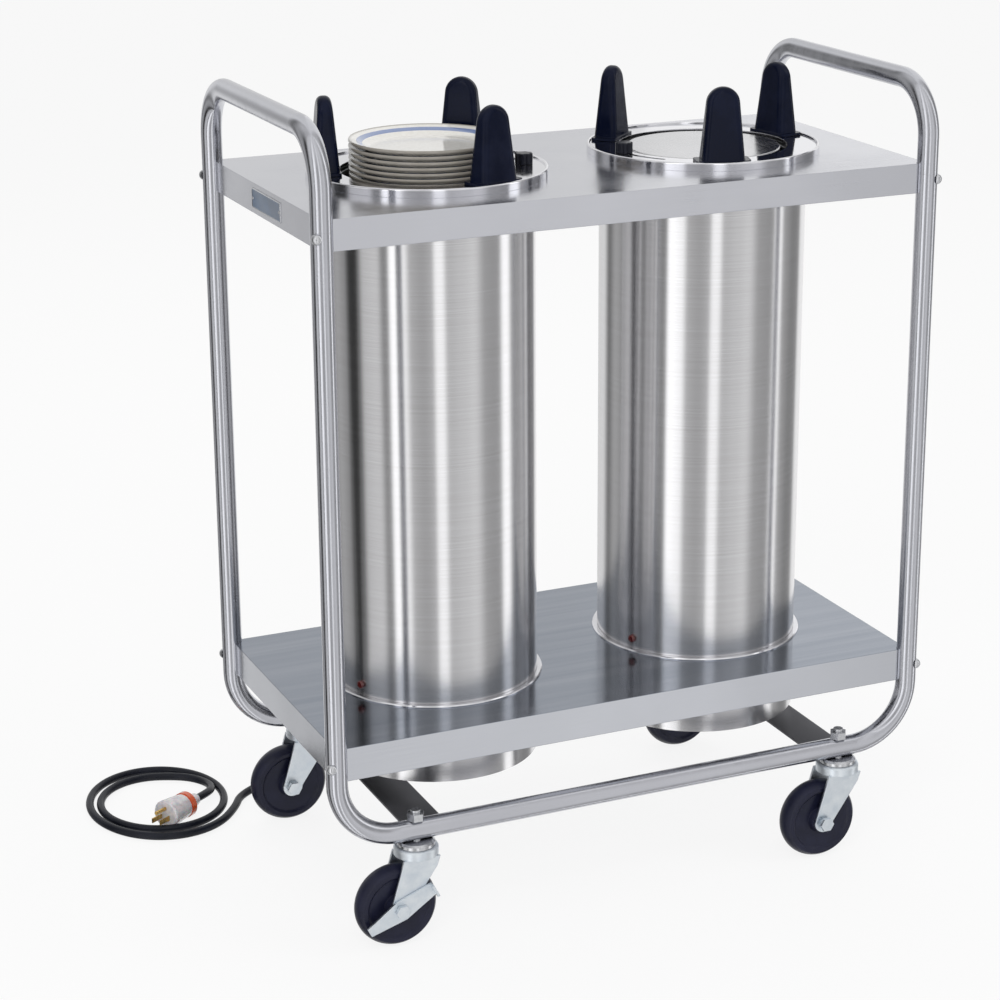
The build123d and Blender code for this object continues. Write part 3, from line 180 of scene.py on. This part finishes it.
def steel(name, colour, roughness, grain, depth, rounded=0.0008, contrast=0.10, **sockets):
    """Bare steel with a drawn or brushed grain: the grain's stretch is least along the strokes."""
    material, tree, shader = new_finish(name, colour, roughness, 1.0, **sockets)
    strokes = noise(tree, object_place(tree, grain), 1.0, 4.0, 0.7)
    clouds = noise(tree, object_place(tree), 9.0, 3.0)
    darker = tuple(c * (1 - contrast) for c in colour[:3]) + (1.0,)
    lighter = tuple(min(1, c * (1 + contrast)) for c in colour[:3]) + (1.0,)
    toned = blend_colours(tree, spread(tree, strokes, 0, 1), darker, lighter)
    handled = blend_colours(tree, spread(tree, clouds, 0.0, 0.35), toned, colour)
    tree.links.new(handled, shader.inputs["Base Color"])
    worn = maths(tree, "ADD", spread(tree, strokes, -0.05, 0.06), spread(tree, clouds, -0.03, 0.05))
    tree.links.new(maths(tree, "ADD", worn, roughness), shader.inputs["Roughness"])
    relief(tree, shader, strokes, depth, 0.6, rounded)
    return material


def paint_shade_above(material, height, colour):
    """Gives what lies above a height another, darker colour as painted shade: the upper face is darkened for
    the dim surroundings it reflects, mottled by noise.
    """
    tree = material.node_tree
    shader = tree.nodes["Principled BSDF"]
    parts = tree.nodes.new("ShaderNodeSeparateXYZ")
    tree.links.new(object_place(tree), parts.inputs[0])
    above = spread(tree, parts.outputs[2], 0, 1, height - 0.0006, height)
    unshaded = shader.inputs["Base Color"].links[0].from_socket
    # Noise that mottles the painted shade on the upper face.
    shade_mottle = noise(tree, object_place(tree, (2, 60, 60)), 1.0, 4.0, 0.6)
    share = maths(tree, "MULTIPLY", above, spread(tree, shade_mottle, 0.8, 1.0))
    tree.links.new(blend_colours(tree, share, unshaded, colour), shader.inputs["Base Color"])


def silo_steel(side):
    """Sheet polished round the silo, so that its highlights stand as long upright bands."""
    colour = linear(208, 206, 205)
    material, tree, shader = new_finish(
        f"{side}_silo_steel", colour, 0.2, 1.0, Anisotropic=0.85, Anisotropic_Rotation=0.25,
    )
    tangent = tree.nodes.new("ShaderNodeTangent")
    tangent.direction_type = "RADIAL"
    tangent.axis = "Z"
    tree.links.new(tangent.outputs[0], shader.inputs["Tangent"])
    centre = silo_axis[side]
    rings = noise(tree, object_place(tree, (3, 3, 900), centre), 1.0, 5.0, 0.75)
    fine = noise(tree, object_place(tree, (14, 14, 2600), centre), 1.0, 2.0)
    clouds = noise(tree, object_place(tree, (5, 5, 2.2), centre), 1.0, 3.0)
    strokes = maths(tree, "ADD", maths(tree, "MULTIPLY", rings, 0.6), maths(tree, "MULTIPLY", fine, 0.4))
    toned = blend_colours(
        tree, spread(tree, strokes, 0, 1, 0.35, 0.65), linear(202, 201, 202), linear(214, 214, 216),
    )
    tree.links.new(toned, shader.inputs["Base Color"])
    tree.links.new(
        maths(tree, "ADD", spread(tree, strokes, 0.18, 0.22), spread(tree, clouds, -0.01, 0.02)),
        shader.inputs["Roughness"],
    )
    relief(tree, shader, strokes, 0.000012, 0.5)
    return material


def zinc_plate(name, colour):
    """Bright zinc with a faint blue cast and cloudy passivation."""
    material, tree, shader = new_finish(name, colour, 0.3, 1.0)
    clouds = noise(tree, object_place(tree), 60.0, 4.0, 0.6)
    grain = noise(tree, object_place(tree), 900.0, 2.0)
    toned = blend_colours(tree, spread(tree, clouds, 0, 1), linear(212, 220, 228), linear(234, 239, 243))
    tree.links.new(toned, shader.inputs["Base Color"])
    tree.links.new(spread(tree, clouds, 0.34, 0.46), shader.inputs["Roughness"])
    relief(tree, shader, grain, 0.00003, 0.4, 0.0007)
    return material


# Plastic, rubber, china and the rest

def moulded(name, colour, roughness, rounded=0.001, **sockets):
    """Moulded plastic or rubber: faint orange peel, dust-dulled patches and soft edges."""
    material, tree, shader = new_finish(name, colour, roughness, 0.0, **sockets)
    clouds = noise(tree, object_place(tree), 35.0, 4.0)
    peel = noise(tree, object_place(tree), 420.0, 2.0)
    lighter = tuple(min(1, c * 1.5 + 0.003) for c in colour[:3]) + (1.0,)
    toned = blend_colours(tree, spread(tree, clouds, 0, 1, 0.4, 0.75), colour, lighter)
    tree.links.new(toned, shader.inputs["Base Color"])
    tree.links.new(spread(tree, clouds, roughness - 0.04, roughness + 0.08), shader.inputs["Roughness"])
    relief(tree, shader, peel, 0.00008, 0.5, rounded)
    return material


# Radii in metres of the blue line, and of where the glaze gives way to the bare edge
CHINA_BAND = (0.0755, 0.0825)
CHINA_EDGE = (0.0875, 0.0905)


def china(centre):
    """Cream glazed china: a blue line inside the rim, and a greyer foot and edge."""
    material, tree, shader = new_finish(
        "glazed_china", linear(236, 230, 216), 0.14, Coat_Weight=0.5, Coat_Roughness=0.06,
    )
    radius = radius_from(tree, centre)
    speckle = noise(tree, object_place(tree), 220.0, 3.0)
    glaze = blend_colours(tree, spread(tree, speckle, 0, 1), linear(238, 235, 228), linear(246, 244, 239))
    band = between(tree, radius, *CHINA_BAND)
    painted = blend_colours(tree, maths(tree, "MULTIPLY", band, 0.85), glaze, linear(92, 122, 180))
    edge = spread(tree, radius, 0.0, 0.9, *CHINA_EDGE)
    tree.links.new(blend_colours(tree, edge, painted, linear(146, 140, 130)), shader.inputs["Base Color"])
    tree.links.new(spread(tree, speckle, 0.1, 0.2), shader.inputs["Roughness"])
    relief(tree, shader, speckle, 0.0001, 0.3, 0.0008)
    return material


def insulation_wool():
    material, tree, shader = new_finish("glass_wool", linear(226, 206, 132), 0.95)
    fibres = noise(tree, object_place(tree, (60, 60, 420)), 1.0, 6.0, 0.8)
    toned = blend_colours(tree, spread(tree, fibres, 0, 1), linear(196, 172, 96), linear(240, 224, 160))
    tree.links.new(toned, shader.inputs["Base Color"])
    relief(tree, shader, fibres, 0.003)
    return material


def red_lens():
    material, tree, shader = new_finish(
        "red_lens", linear(96, 22, 20), 0.1, Coat_Weight=0.6, Transmission_Weight=0.2,
    )
    facets = noise(tree, object_place(tree), 900.0, 0.0)
    relief(tree, shader, facets, 0.0003, 0.5)
    return material


def plug_shell():
    """A pale clear moulding with an orange ring near its cord end."""
    material, tree, shader = new_finish(
        "plug_shell", linear(226, 224, 226), 0.18,
        Coat_Weight=0.6, Subsurface_Weight=0.2, Subsurface_Scale=0.01,
    )
    parts = tree.nodes.new("ShaderNodeSeparateXYZ")
    heading = radians(PLUG_HEADING)
    turned = object_place(tree, centre=PLUG_BACK, turn=(0, 0, -heading))
    tree.links.new(turned, parts.inputs[0])
    along = parts.outputs[0]
    ring = between(tree, along, *PLUG_RING)
    clouds = noise(tree, object_place(tree), 120.0, 3.0)
    body = blend_colours(tree, spread(tree, clouds, 0, 1), linear(204, 200, 206), linear(238, 236, 236))
    tree.links.new(blend_colours(tree, ring, body, linear(226, 96, 44)), shader.inputs["Base Color"])
    relief(tree, shader, clouds, 0.0003, 0.4, 0.0012)
    return material


def brass():
    material, tree, shader = new_finish("prong_brass", linear(214, 178, 104), 0.25, 1.0)
    clouds = noise(tree, object_place(tree), 160.0, 3.0)
    toned = blend_colours(tree, spread(tree, clouds, 0, 1), linear(188, 148, 80), linear(228, 196, 124))
    tree.links.new(toned, shader.inputs["Base Color"])
    tree.links.new(spread(tree, clouds, 0.18, 0.34), shader.inputs["Roughness"])
    relief(tree, shader, clouds, 0.0001, 0.4, 0.0004)
    return material


# The cord's route: its points are the ones the frame's own cord follows, in metres

CORD_DIAMETER = 0.0105
CORD_EXIT = ((gland_low.x + gland_high.x) / 2, gland_high.y, (gland_low.z + gland_high.z) / 2)
CORD_Z = 0.0053
GLAND_RUN = 0.028
LEAD_DROP = (
    (-0.212, 0.253, 0.180), (-0.212, 0.271, 0.157), (-0.213, 0.281, 0.130), (-0.214, 0.284, 0.094),
    (-0.215, 0.286, 0.059), (-0.225, 0.288, 0.034), (-0.244, 0.291, 0.0155),
)
LEAD_FLOOR = ((-0.268, 0.294), (-0.296, 0.298), (-0.325, 0.292))
COIL_CENTRE = (-0.461, 0.300)
COIL_HALF = (0.100, 0.120)
COIL_STEP = (0.014, 0.023)
COIL_START = -30.0
COIL_TURNS = 1.75
COIL_POINTS_A_TURN = 14
PLUG_TURN = ((-0.387, 0.3285, 0.0063), (-0.3876, 0.300, 0.0105))
PLUG_BACK = (-0.423, 0.261, 0.0165)
PLUG_HEADING = 215.0
PLUG_RING = (0.0165, 0.0275)  # the orange ring's ends, along the plug
CORD_RUN = 0.032
PLUG_RUN = 0.027


def coil_point(turns):
    """A point of the coil after so many turns clockwise, drawn in steadily."""
    turn = radians(COIL_START - 360 * turns)
    half_x = COIL_HALF[0] - COIL_STEP[0] * turns
    half_y = COIL_HALF[1] - COIL_STEP[1] * turns
    return Vector((COIL_CENTRE[0] + half_x * cos(turn), COIL_CENTRE[1] + half_y * sin(turn), CORD_Z))


def cord_route():
    small = 0.001
    first, last = coil_point(0), coil_point(COIL_TURNS)
    into = (coil_point(small) - first).normalized()
    onward = (last - coil_point(COIL_TURNS - small)).normalized()
    heading = radians(PLUG_HEADING)
    plug_way = Vector((cos(heading), sin(heading), 0.0436)).normalized()
    x, y, z = CORD_EXIT
    points = [Vector(CORD_EXIT), Vector((x, y + GLAND_RUN, z))]
    points += [Vector(p) for p in LEAD_DROP]
    points += [Vector((px, py, CORD_Z)) for px, py in LEAD_FLOOR]
    points.append(first - into * CORD_RUN)
    count = round(COIL_POINTS_A_TURN * COIL_TURNS)
    points += [coil_point(COIL_TURNS * step / count) for step in range(count + 1)]
    points.append(last + onward * PLUG_RUN)
    points += [Vector(p) for p in PLUG_TURN]
    points += [Vector(PLUG_BACK) - plug_way * PLUG_RUN, Vector(PLUG_BACK)]
    return points


def spline_curve(name, points, radius, order=3):
    """One open smooth tube along control points."""
    data = bpy.data.curves.new(name, "CURVE")
    data.dimensions = "3D"
    data.bevel_depth = radius
    data.bevel_resolution = 7
    data.resolution_u = 10
    data.use_fill_caps = True
    spline = data.splines.new("NURBS")
    spline.points.add(len(points) - 1)
    for control, point in zip(spline.points, points):
        control.co = (*point, 1.0)
    spline.order_u = order
    spline.use_endpoint_u = True
    piece = bpy.data.objects.new(name, data)
    bpy.context.scene.collection.objects.link(piece)
    return piece


def make_cord(material):
    cord = spline_curve("supply_cord", cord_route(), CORD_DIAMETER / 2)
    cord.data.materials.append(material)
    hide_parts("supply_lead", "cord_coil", "plug_lead")
    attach(cord, ROOT)


# Small trim made here

def mesh_piece(name, shape, material, body):
    """A piece from a shape; with no body it rides on none."""
    mesh = bpy.data.meshes.new(name)
    shape.to_mesh(mesh)
    shape.free()
    mesh.materials.append(material)
    for face in mesh.polygons:
        face.use_smooth = True
    piece = bpy.data.objects.new(name, mesh)
    bpy.context.scene.collection.objects.link(piece)
    if body:
        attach(piece, body)
    return piece


STRIP_WIDTH = 0.050
WELD_RADIUS = 0.0022
WELD_RINGS, WELD_SIDES = 4, 10  # rings a ripple, and corners a ring


def bridge(shape, loops):
    """Faces between each ring of corners and the next."""
    for near, far in zip(loops, loops[1:]):
        count = len(near)
        for k in range(count):
            shape.faces.new((near[k], near[(k + 1) % count], far[(k + 1) % count], far[k]))


def weld_bead(name, start, end, radius, material):
    """A row of overlapping ripples, as a welder leaves along a joint."""
    start, end = Vector(start), Vector(end)
    run = end - start
    ripples = max(4, round(run.length / (radius * 1.1)))
    rings = ripples * WELD_RINGS
    up = Vector((0, 0, 1))
    across = run.normalized().cross(up).normalized()
    shape = bmesh.new()
    loops = []
    for ring in range(rings + 1):
        share = ring / rings
        phase = (ring % WELD_RINGS) / WELD_RINGS
        closing = min(1, 4 * share + 0.25, 4 * (1 - share) + 0.25)
        size = radius * (0.82 + 0.18 * sin(pi * phase)) * closing
        centre = start + run * share
        turns = [2 * pi * k / WELD_SIDES for k in range(WELD_SIDES)]
        ways = [across * cos(turn) + up * sin(turn) for turn in turns]
        loops.append([shape.verts.new(centre + way * size) for way in ways])
    bridge(shape, loops)
    shape.faces.new(list(reversed(loops[0])))
    shape.faces.new(loops[-1])
    return mesh_piece(name, shape, material, ROOT)


def make_welds(material):
    """Beads along both faces of each brace where it meets the two bottom rails."""
    low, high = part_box("cross_strips")
    for end, start_x in (("left", low.x), ("right", high.x - STRIP_WIDTH)):
        for row, y in (("front", low.y), ("rear", high.y)):
            for face, z in (("top", high.z), ("under", low.z)):
                start, finish = (start_x, y, z), (start_x + STRIP_WIDTH, y, z)
                weld_bead(f"{end}_{row}_{face}_weld", start, finish, WELD_RADIUS, material)


LABEL_CENTRE_Y = -0.008
LABEL_CENTRE_Z = 0.865
LABEL_HALF_WIDTH = 0.050
LABEL_HALF_HEIGHT = 0.012
LABEL_THICK = 0.0008
RIVET_OFFSET = 0.046  # from the label's centre, along the flange
RIVET_RADIUS = 0.0018
RIVET_HEIGHT = 0.0009


SPRING_WIRE_RADIUS = 0.0009
SPRING_PITCH = 0.0034
SPRING_STEPS, SPRING_SIDES = 14, 6  # rings a turn, and corners a ring


def islands(mesh):
    """The lowest and highest corners of each separate solid in a mesh."""
    shape = bmesh.new()
    shape.from_mesh(mesh)
    bmesh.ops.remove_doubles(shape, verts=shape.verts, dist=0.000001)
    left, found = set(shape.verts), []
    while left:
        group, edge = [], [left.pop()]
        while edge:
            vert = edge.pop()
            group.append(vert.co.copy())
            for link in vert.link_edges:
                other = link.other_vert(vert)
                if other in left:
                    left.remove(other)
                    edge.append(other)
        found.append([Vector(pick(point[k] for point in group) for k in range(3)) for pick in (min, max)])
    shape.free()
    return found


def make_springs(side, material):
    """Wound springs in place of the plain ones."""
    shape = bmesh.new()
    spans = islands(nodes[f"{side}_springs"].data)
    for low, high in spans:
        centre = (low + high) / 2
        radius = (high.x - low.x) / 2 - SPRING_WIRE_RADIUS
        run = high.z - low.z - 2 * SPRING_WIRE_RADIUS
        turns = round(run / SPRING_PITCH)
        loops = []
        steps = turns * SPRING_STEPS
        for step in range(steps + 1):
            turn = 2 * pi * step / SPRING_STEPS
            out = Vector((cos(turn), sin(turn), 0))
            z = low.z + SPRING_WIRE_RADIUS + run * step / steps
            place = Vector((centre.x, centre.y, z)) + out * radius
            corners = [2 * pi * k / SPRING_SIDES for k in range(SPRING_SIDES)]
            rounds = [out * cos(corner) + Vector((0, 0, 1)) * sin(corner) for corner in corners]
            loops.append([shape.verts.new(place + way * SPRING_WIRE_RADIUS) for way in rounds])
        bridge(shape, loops)
        shape.faces.new(loops[0])
        shape.faces.new(list(reversed(loops[-1])))
    bmesh.ops.recalc_face_normals(shape, faces=shape.faces)
    piece = mesh_piece(f"{side}_spring_coils", shape, material, None)
    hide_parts(f"{side}_springs")
    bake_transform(piece)


def make_label(metal, enamel):
    """A bare plate with rounded corners, a raised border and two rivets, on the deck's left flange."""
    face_x = deck_low.x
    corner, segments = 0.003, 6

    def outline(inset, depth):
        points = []
        for quarter, (sy, sz) in enumerate(((1, 1), (-1, 1), (-1, -1), (1, -1))):
            for step in range(segments + 1):
                turn = radians(90 * quarter + 90 * step / segments)
                radius = max(corner - inset, 0.0006)
                y = sy * (LABEL_HALF_WIDTH - inset - radius) + radius * cos(turn)
                z = sz * (LABEL_HALF_HEIGHT - inset - radius) + radius * sin(turn)
                points.append(shape.verts.new((face_x - depth, LABEL_CENTRE_Y + y, LABEL_CENTRE_Z + z)))
        return points

    shape = bmesh.new()
    steps = (
        (0.0, 0.0), (0.0, LABEL_THICK), (0.0003, LABEL_THICK + 0.0002), (0.0012, LABEL_THICK + 0.0002),
        (0.0016, LABEL_THICK - 0.0002),
    )
    loops = [outline(inset, depth) for inset, depth in steps]
    bridge(shape, loops)
    field = shape.faces.new(loops[-1])
    field.material_index = 1
    bmesh.ops.recalc_face_normals(shape, faces=shape.faces)
    plate = mesh_piece("blank_label_plate", shape, metal, ROOT)
    plate.data.materials.append(enamel)
    for name, along in (("front", -RIVET_OFFSET), ("rear", RIVET_OFFSET)):
        centre = (face_x - LABEL_THICK, LABEL_CENTRE_Y + along, LABEL_CENTRE_Z)
        dome_head(f"label_{name}_rivet", centre, (-1, 0, 0), RIVET_RADIUS, RIVET_HEIGHT, metal)


def dome_head(name, centre, way, radius, height, material):
    """A low round rivet head."""
    shape = bmesh.new()
    turn = Vector(way).to_track_quat("Z", "Y").to_matrix().to_4x4()
    sides, rings = 20, 5
    loops = []
    for ring in range(rings):
        lean = radians(90 * ring / rings)
        turns = [2 * pi * k / sides for k in range(sides)]
        flat = radius * cos(lean)
        ring_points = [(flat * cos(turn), flat * sin(turn), height * sin(lean)) for turn in turns]
        loops.append([shape.verts.new(point) for point in ring_points])
    crown = shape.verts.new((0, 0, height))
    bridge(shape, loops)
    for k in range(sides):
        shape.faces.new((loops[-1][k], loops[-1][(k + 1) % sides], crown))
    bmesh.ops.transform(shape, matrix=Matrix.Translation(centre) @ turn, verts=shape.verts)
    return mesh_piece(name, shape, material, ROOT)


# Which finish each node wears

def dress(material, *names):
    for name in names:
        mesh = nodes[name].data
        mesh.materials.clear()
        mesh.materials.append(material)


def dress_all():
    sides = ("left", "right")
    corners = [f"{row}_{side}" for row in ("front", "rear") for side in sides]
    tube = steel("polished_tube", linear(194, 195, 201), 0.18, (60, 60, 14), 0.000012, 0.0005, 0.04)
    dress(tube, "front_base_hoop", "rear_base_hoop", "left_handle_hoop", "right_handle_hoop")
    deck = steel("deck_sheet", linear(203, 204, 210), 0.2, (6, 420, 420), 0.000012, 0.0012, 0.03)
    dress(deck, "top_deck")
    lower = steel("lower_deck_sheet", linear(200, 202, 208), 0.13, (6, 420, 420), 0.000008, 0.0012, 0.03)
    # Painted shade: the lower deck's top face is coloured darker for the dim surroundings it reflects under
    # the top deck.
    paint_shade_above(lower, lower_deck_top, linear(140, 147, 158))
    dress(lower, "lower_deck")
    # Painted shade: the braces, the gussets and the welds on the braces get a dark grey for the shade they
    # lie in under the deck.
    brace = steel("brace_steel", linear(104, 104, 108), 0.38, (700, 12, 300), 0.00005)
    dress(brace, "cross_strips", "deck_corner_gussets")
    bright = steel("bright_fastener", linear(204, 205, 208), 0.22, (260, 260, 260), 0.00003, 0.0005)
    dress(bright, "deck_bolts", "caster_stem_nuts", "caster_stems")
    for side in sides:
        dress(silo_steel(side), f"{side}_silo_shell")
    mirror = steel("polished_collar", linear(224, 224, 228), 0.07, (160, 160, 160), 0.00001, 0.0008, 0.03)
    dress(mirror, "left_collar", "right_collar", "lower_trim_rings")
    inner = steel("inner_steel", linear(196, 197, 199), 0.34, (40, 40, 500), 0.00006)
    dress(inner, "silo_liners", "spring_anchor_rings", "silo_base_pans", "control_boxes")
    carrier = steel("carrier_steel", linear(206, 206, 208), 0.24, (500, 30, 500), 0.00004)
    dress(carrier, "left_carrier", "right_carrier", "left_adjuster_ring", "right_adjuster_ring", "guide_rods")
    wire = steel("spring_wire", linear(160, 160, 164), 0.3, (300, 300, 60), 0.00004)
    dress(wire, "left_springs", "right_springs")
    sheath = steel("element_sheath", linear(112, 104, 100), 0.5, (300, 300, 300), 0.0001, 0.0005, 0.25)
    dress(sheath, "heating_elements")
    dress(steel("zinc_conduit", linear(176, 178, 184), 0.32, (30, 400, 400), 0.00005), "wiring_conduit")
    dress(insulation_wool(), "silo_insulation")
    zinc = zinc_plate("zinc_fork", linear(200, 208, 216))
    dress(zinc, *[f"{corner}_fork" for corner in corners], "front_left_brake_lever", "rear_right_brake_lever")
    rubber = moulded("wheel_rubber", linear(24, 26, 46), 0.36, 0.0015, Specular_IOR_Level=0.3)
    dress(rubber, *[f"{corner}_wheel" for corner in corners])
    posts = moulded("post_plastic", linear(5, 12, 34), 0.18, 0.002, Specular_IOR_Level=0.14)
    dress(posts, *[f"{side}_guide_post_{number}" for side in sides for number in (1, 2, 3)])
    knobs = moulded("knob_plastic", linear(20, 22, 32), 0.3, 0.0008, Specular_IOR_Level=0.3)
    dress(knobs, "cord_gland", *[f"{side}_{kind}_knob" for side in sides for kind in ("clamp", "thermostat")])
    dress(moulded("thermostat_body", linear(220, 214, 196), 0.4), "thermostats")
    dress(red_lens(), "pilot_lamps")
    low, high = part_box("plate_stack")
    dress(china(((low.x + high.x) / 2, (low.y + high.y) / 2, 0)), "plate_stack", "top_plate")
    dress(plug_shell(), "plug")
    dress(brass(), "plug_prongs")
    for side in sides:
        make_springs(side, wire)
    return bright, brace


# Studio

CAMERA_PLACE = (-1.31441, -2.80771, 1.47469)
CAMERA_YAW = 24.215
CAMERA_PITCH = 17.566
CAMERA_ROLL = 0.213
CAMERA_LENS = 93.740
CAMERA_SHIFT = (-0.03, -0.03)


def make_camera():
    yaw, pitch, roll = radians(CAMERA_YAW), radians(CAMERA_PITCH), radians(CAMERA_ROLL)
    forward = Vector((sin(yaw) * cos(pitch), cos(yaw) * cos(pitch), -sin(pitch)))
    level = Vector((cos(yaw), -sin(yaw), 0))
    down = forward.cross(level)
    right = level * cos(roll) + down * sin(roll)
    back = -forward
    data = bpy.data.cameras.new("photo_camera")
    data.lens = CAMERA_LENS
    data.sensor_width = 36.0
    data.shift_x, data.shift_y = CAMERA_SHIFT
    camera = bpy.data.objects.new("photo_camera", data)
    camera.matrix_world = Matrix((right, back.cross(right), back)).transposed().to_4x4()
    camera.location = CAMERA_PLACE
    bpy.context.scene.collection.objects.link(camera)
    bpy.context.scene.camera = camera


def make_floor():
    material, tree, shader = new_finish("studio_floor", linear(250, 250, 250), 0.9)
    glow = tree.nodes.new("ShaderNodeEmission")
    path = tree.nodes.new("ShaderNodeLightPath")
    mix = tree.nodes.new("ShaderNodeMixShader")
    share = maths(tree, "MULTIPLY", path.outputs["Is Camera Ray"], 0.86)
    tree.links.new(share, mix.inputs[0])
    tree.links.new(shader.outputs[0], mix.inputs[1])
    tree.links.new(glow.outputs[0], mix.inputs[2])
    tree.links.new(mix.outputs[0], tree.nodes["Material Output"].inputs["Surface"])
    shape = bmesh.new()
    bmesh.ops.create_grid(shape, x_segments=2, y_segments=2, size=30)
    mesh = bpy.data.meshes.new("floor")
    shape.to_mesh(mesh)
    shape.free()
    mesh.materials.append(material)
    floor = bpy.data.objects.new("floor", mesh)
    floor.visible_glossy = False
    bpy.context.scene.collection.objects.link(floor)


# What polished steel sees round it: strip lights and dark flags, by bearing in degrees and level
REFLECTED_STUDIO = (
    (-180, 0.40), (-160, 0.40), (-140, 0.46), (-126, 0.10),
    (-112, 0.26), (-98, 0.20), (-90, 0.02), (-79, 0.02),
    (-70, 0.38), (-52, 0.42), (-45, 0.15), (-40, 0.16), (-37, 0.90), (-22, 0.74), (-15, 0.30), (-2, 0.26),
    (8, 0.30), (12, 0.72), (19, 0.72), (24, 0.34), (41, 0.40), (54, 0.46), (68, 0.24), (86, 0.20),
    (90, 0.80), (98, 0.85), (104, 0.24), (124, 0.15), (136, 0.16), (146, 0.55), (160, 0.50),
)
STUDIO_BEARING = 26.776  # degrees; the strips' zero faces this way
DIFFUSE_STRENGTH = 0.55


def make_world():
    """White to the eye; steel sees the studio's strips and flags; the rest gets even light."""
    world = bpy.data.worlds.new("studio")
    world.use_nodes = True
    bpy.context.scene.world = world
    tree = world.node_tree
    background = tree.nodes["Background"]
    background.inputs["Color"].default_value = (1, 1, 1, 1)
    coordinates = tree.nodes.new("ShaderNodeTexCoord")
    parts = tree.nodes.new("ShaderNodeSeparateXYZ")
    tree.links.new(coordinates.outputs["Generated"], parts.inputs[0])
    bearing = maths(tree, "ARCTAN2", parts.outputs[1], parts.outputs[0])
    studio_zero = atan2(-cos(radians(STUDIO_BEARING)), -sin(radians(STUDIO_BEARING)))
    turned = maths(tree, "SUBTRACT", bearing, studio_zero)
    share = maths(tree, "FRACT", maths(tree, "ADD", maths(tree, "DIVIDE", turned, 2 * pi), 0.5))
    ramp = tree.nodes.new("ShaderNodeValToRGB")
    ramp.color_ramp.interpolation = "EASE"
    while len(ramp.color_ramp.elements) > 1:
        ramp.color_ramp.elements.remove(ramp.color_ramp.elements[-1])
    for number, (angle, level) in enumerate(REFLECTED_STUDIO):
        place = (angle + 180) / 360
        stop = ramp.color_ramp.elements[0] if number == 0 else ramp.color_ramp.elements.new(place)
        stop.position = place
        stop.color = (level, level, level, 1)
    tree.links.new(share, ramp.inputs[0])
    strips = maths(tree, "MULTIPLY", ramp.outputs[0], 2.0)
    height = parts.outputs[2]
    upward = spread(tree, height, 0, 0.5, 0.45, 0.8)
    below_roof = maths(tree, "MULTIPLY", strips, maths(tree, "SUBTRACT", 1, upward))
    with_roof = maths(tree, "ADD", below_roof, upward)
    path = tree.nodes.new("ShaderNodeLightPath")
    glossy = path.outputs["Is Glossy Ray"]
    camera = path.outputs["Is Camera Ray"]
    seen = maths(tree, "MAXIMUM", camera, path.outputs["Is Transmission Ray"])
    plain = maths(tree, "ADD", maths(tree, "MULTIPLY", seen, 1 - DIFFUSE_STRENGTH), DIFFUSE_STRENGTH)
    steel_share = maths(tree, "MULTIPLY", with_roof, glossy)
    rest_share = maths(tree, "MULTIPLY", plain, maths(tree, "SUBTRACT", 1, glossy))
    tree.links.new(maths(tree, "ADD", steel_share, rest_share), background.inputs["Strength"])


def softbox(name, place, aim, size, watts):
    data = bpy.data.lights.new(name, "AREA")
    data.shape = "RECTANGLE"
    data.size, data.size_y = size
    data.energy = watts
    lamp = bpy.data.objects.new(name, data)
    lamp.location = place
    lamp.rotation_mode = "QUATERNION"
    lamp.rotation_quaternion = (Vector(aim) - Vector(place)).to_track_quat("-Z", "Y")
    lamp.visible_glossy = False
    bpy.context.scene.collection.objects.link(lamp)


def make_lights():
    middle = (0, 0, 0.5)
    softbox("key_light", (-1.6, -2.6, 3.0), middle, (1.8, 1.8), 45)
    softbox("fill_light", (2.8, -1.8, 1.9), middle, (1.6, 2.2), 20)
    softbox("back_light", (0.6, 2.8, 2.8), middle, (2.4, 1.6), 20)


bright_steel, brace_painted_shade = dress_all()
make_cord(moulded("cord_jacket", linear(10, 14, 26), 0.36, 0.0, Specular_IOR_Level=0.3))
make_welds(brace_painted_shade)
make_label(bright_steel, moulded("label_enamel", linear(96, 112, 134), 0.35, 0.0))
make_camera()
make_floor()
make_world()
make_lights()
bpy.context.scene.view_settings.view_transform = "Standard"
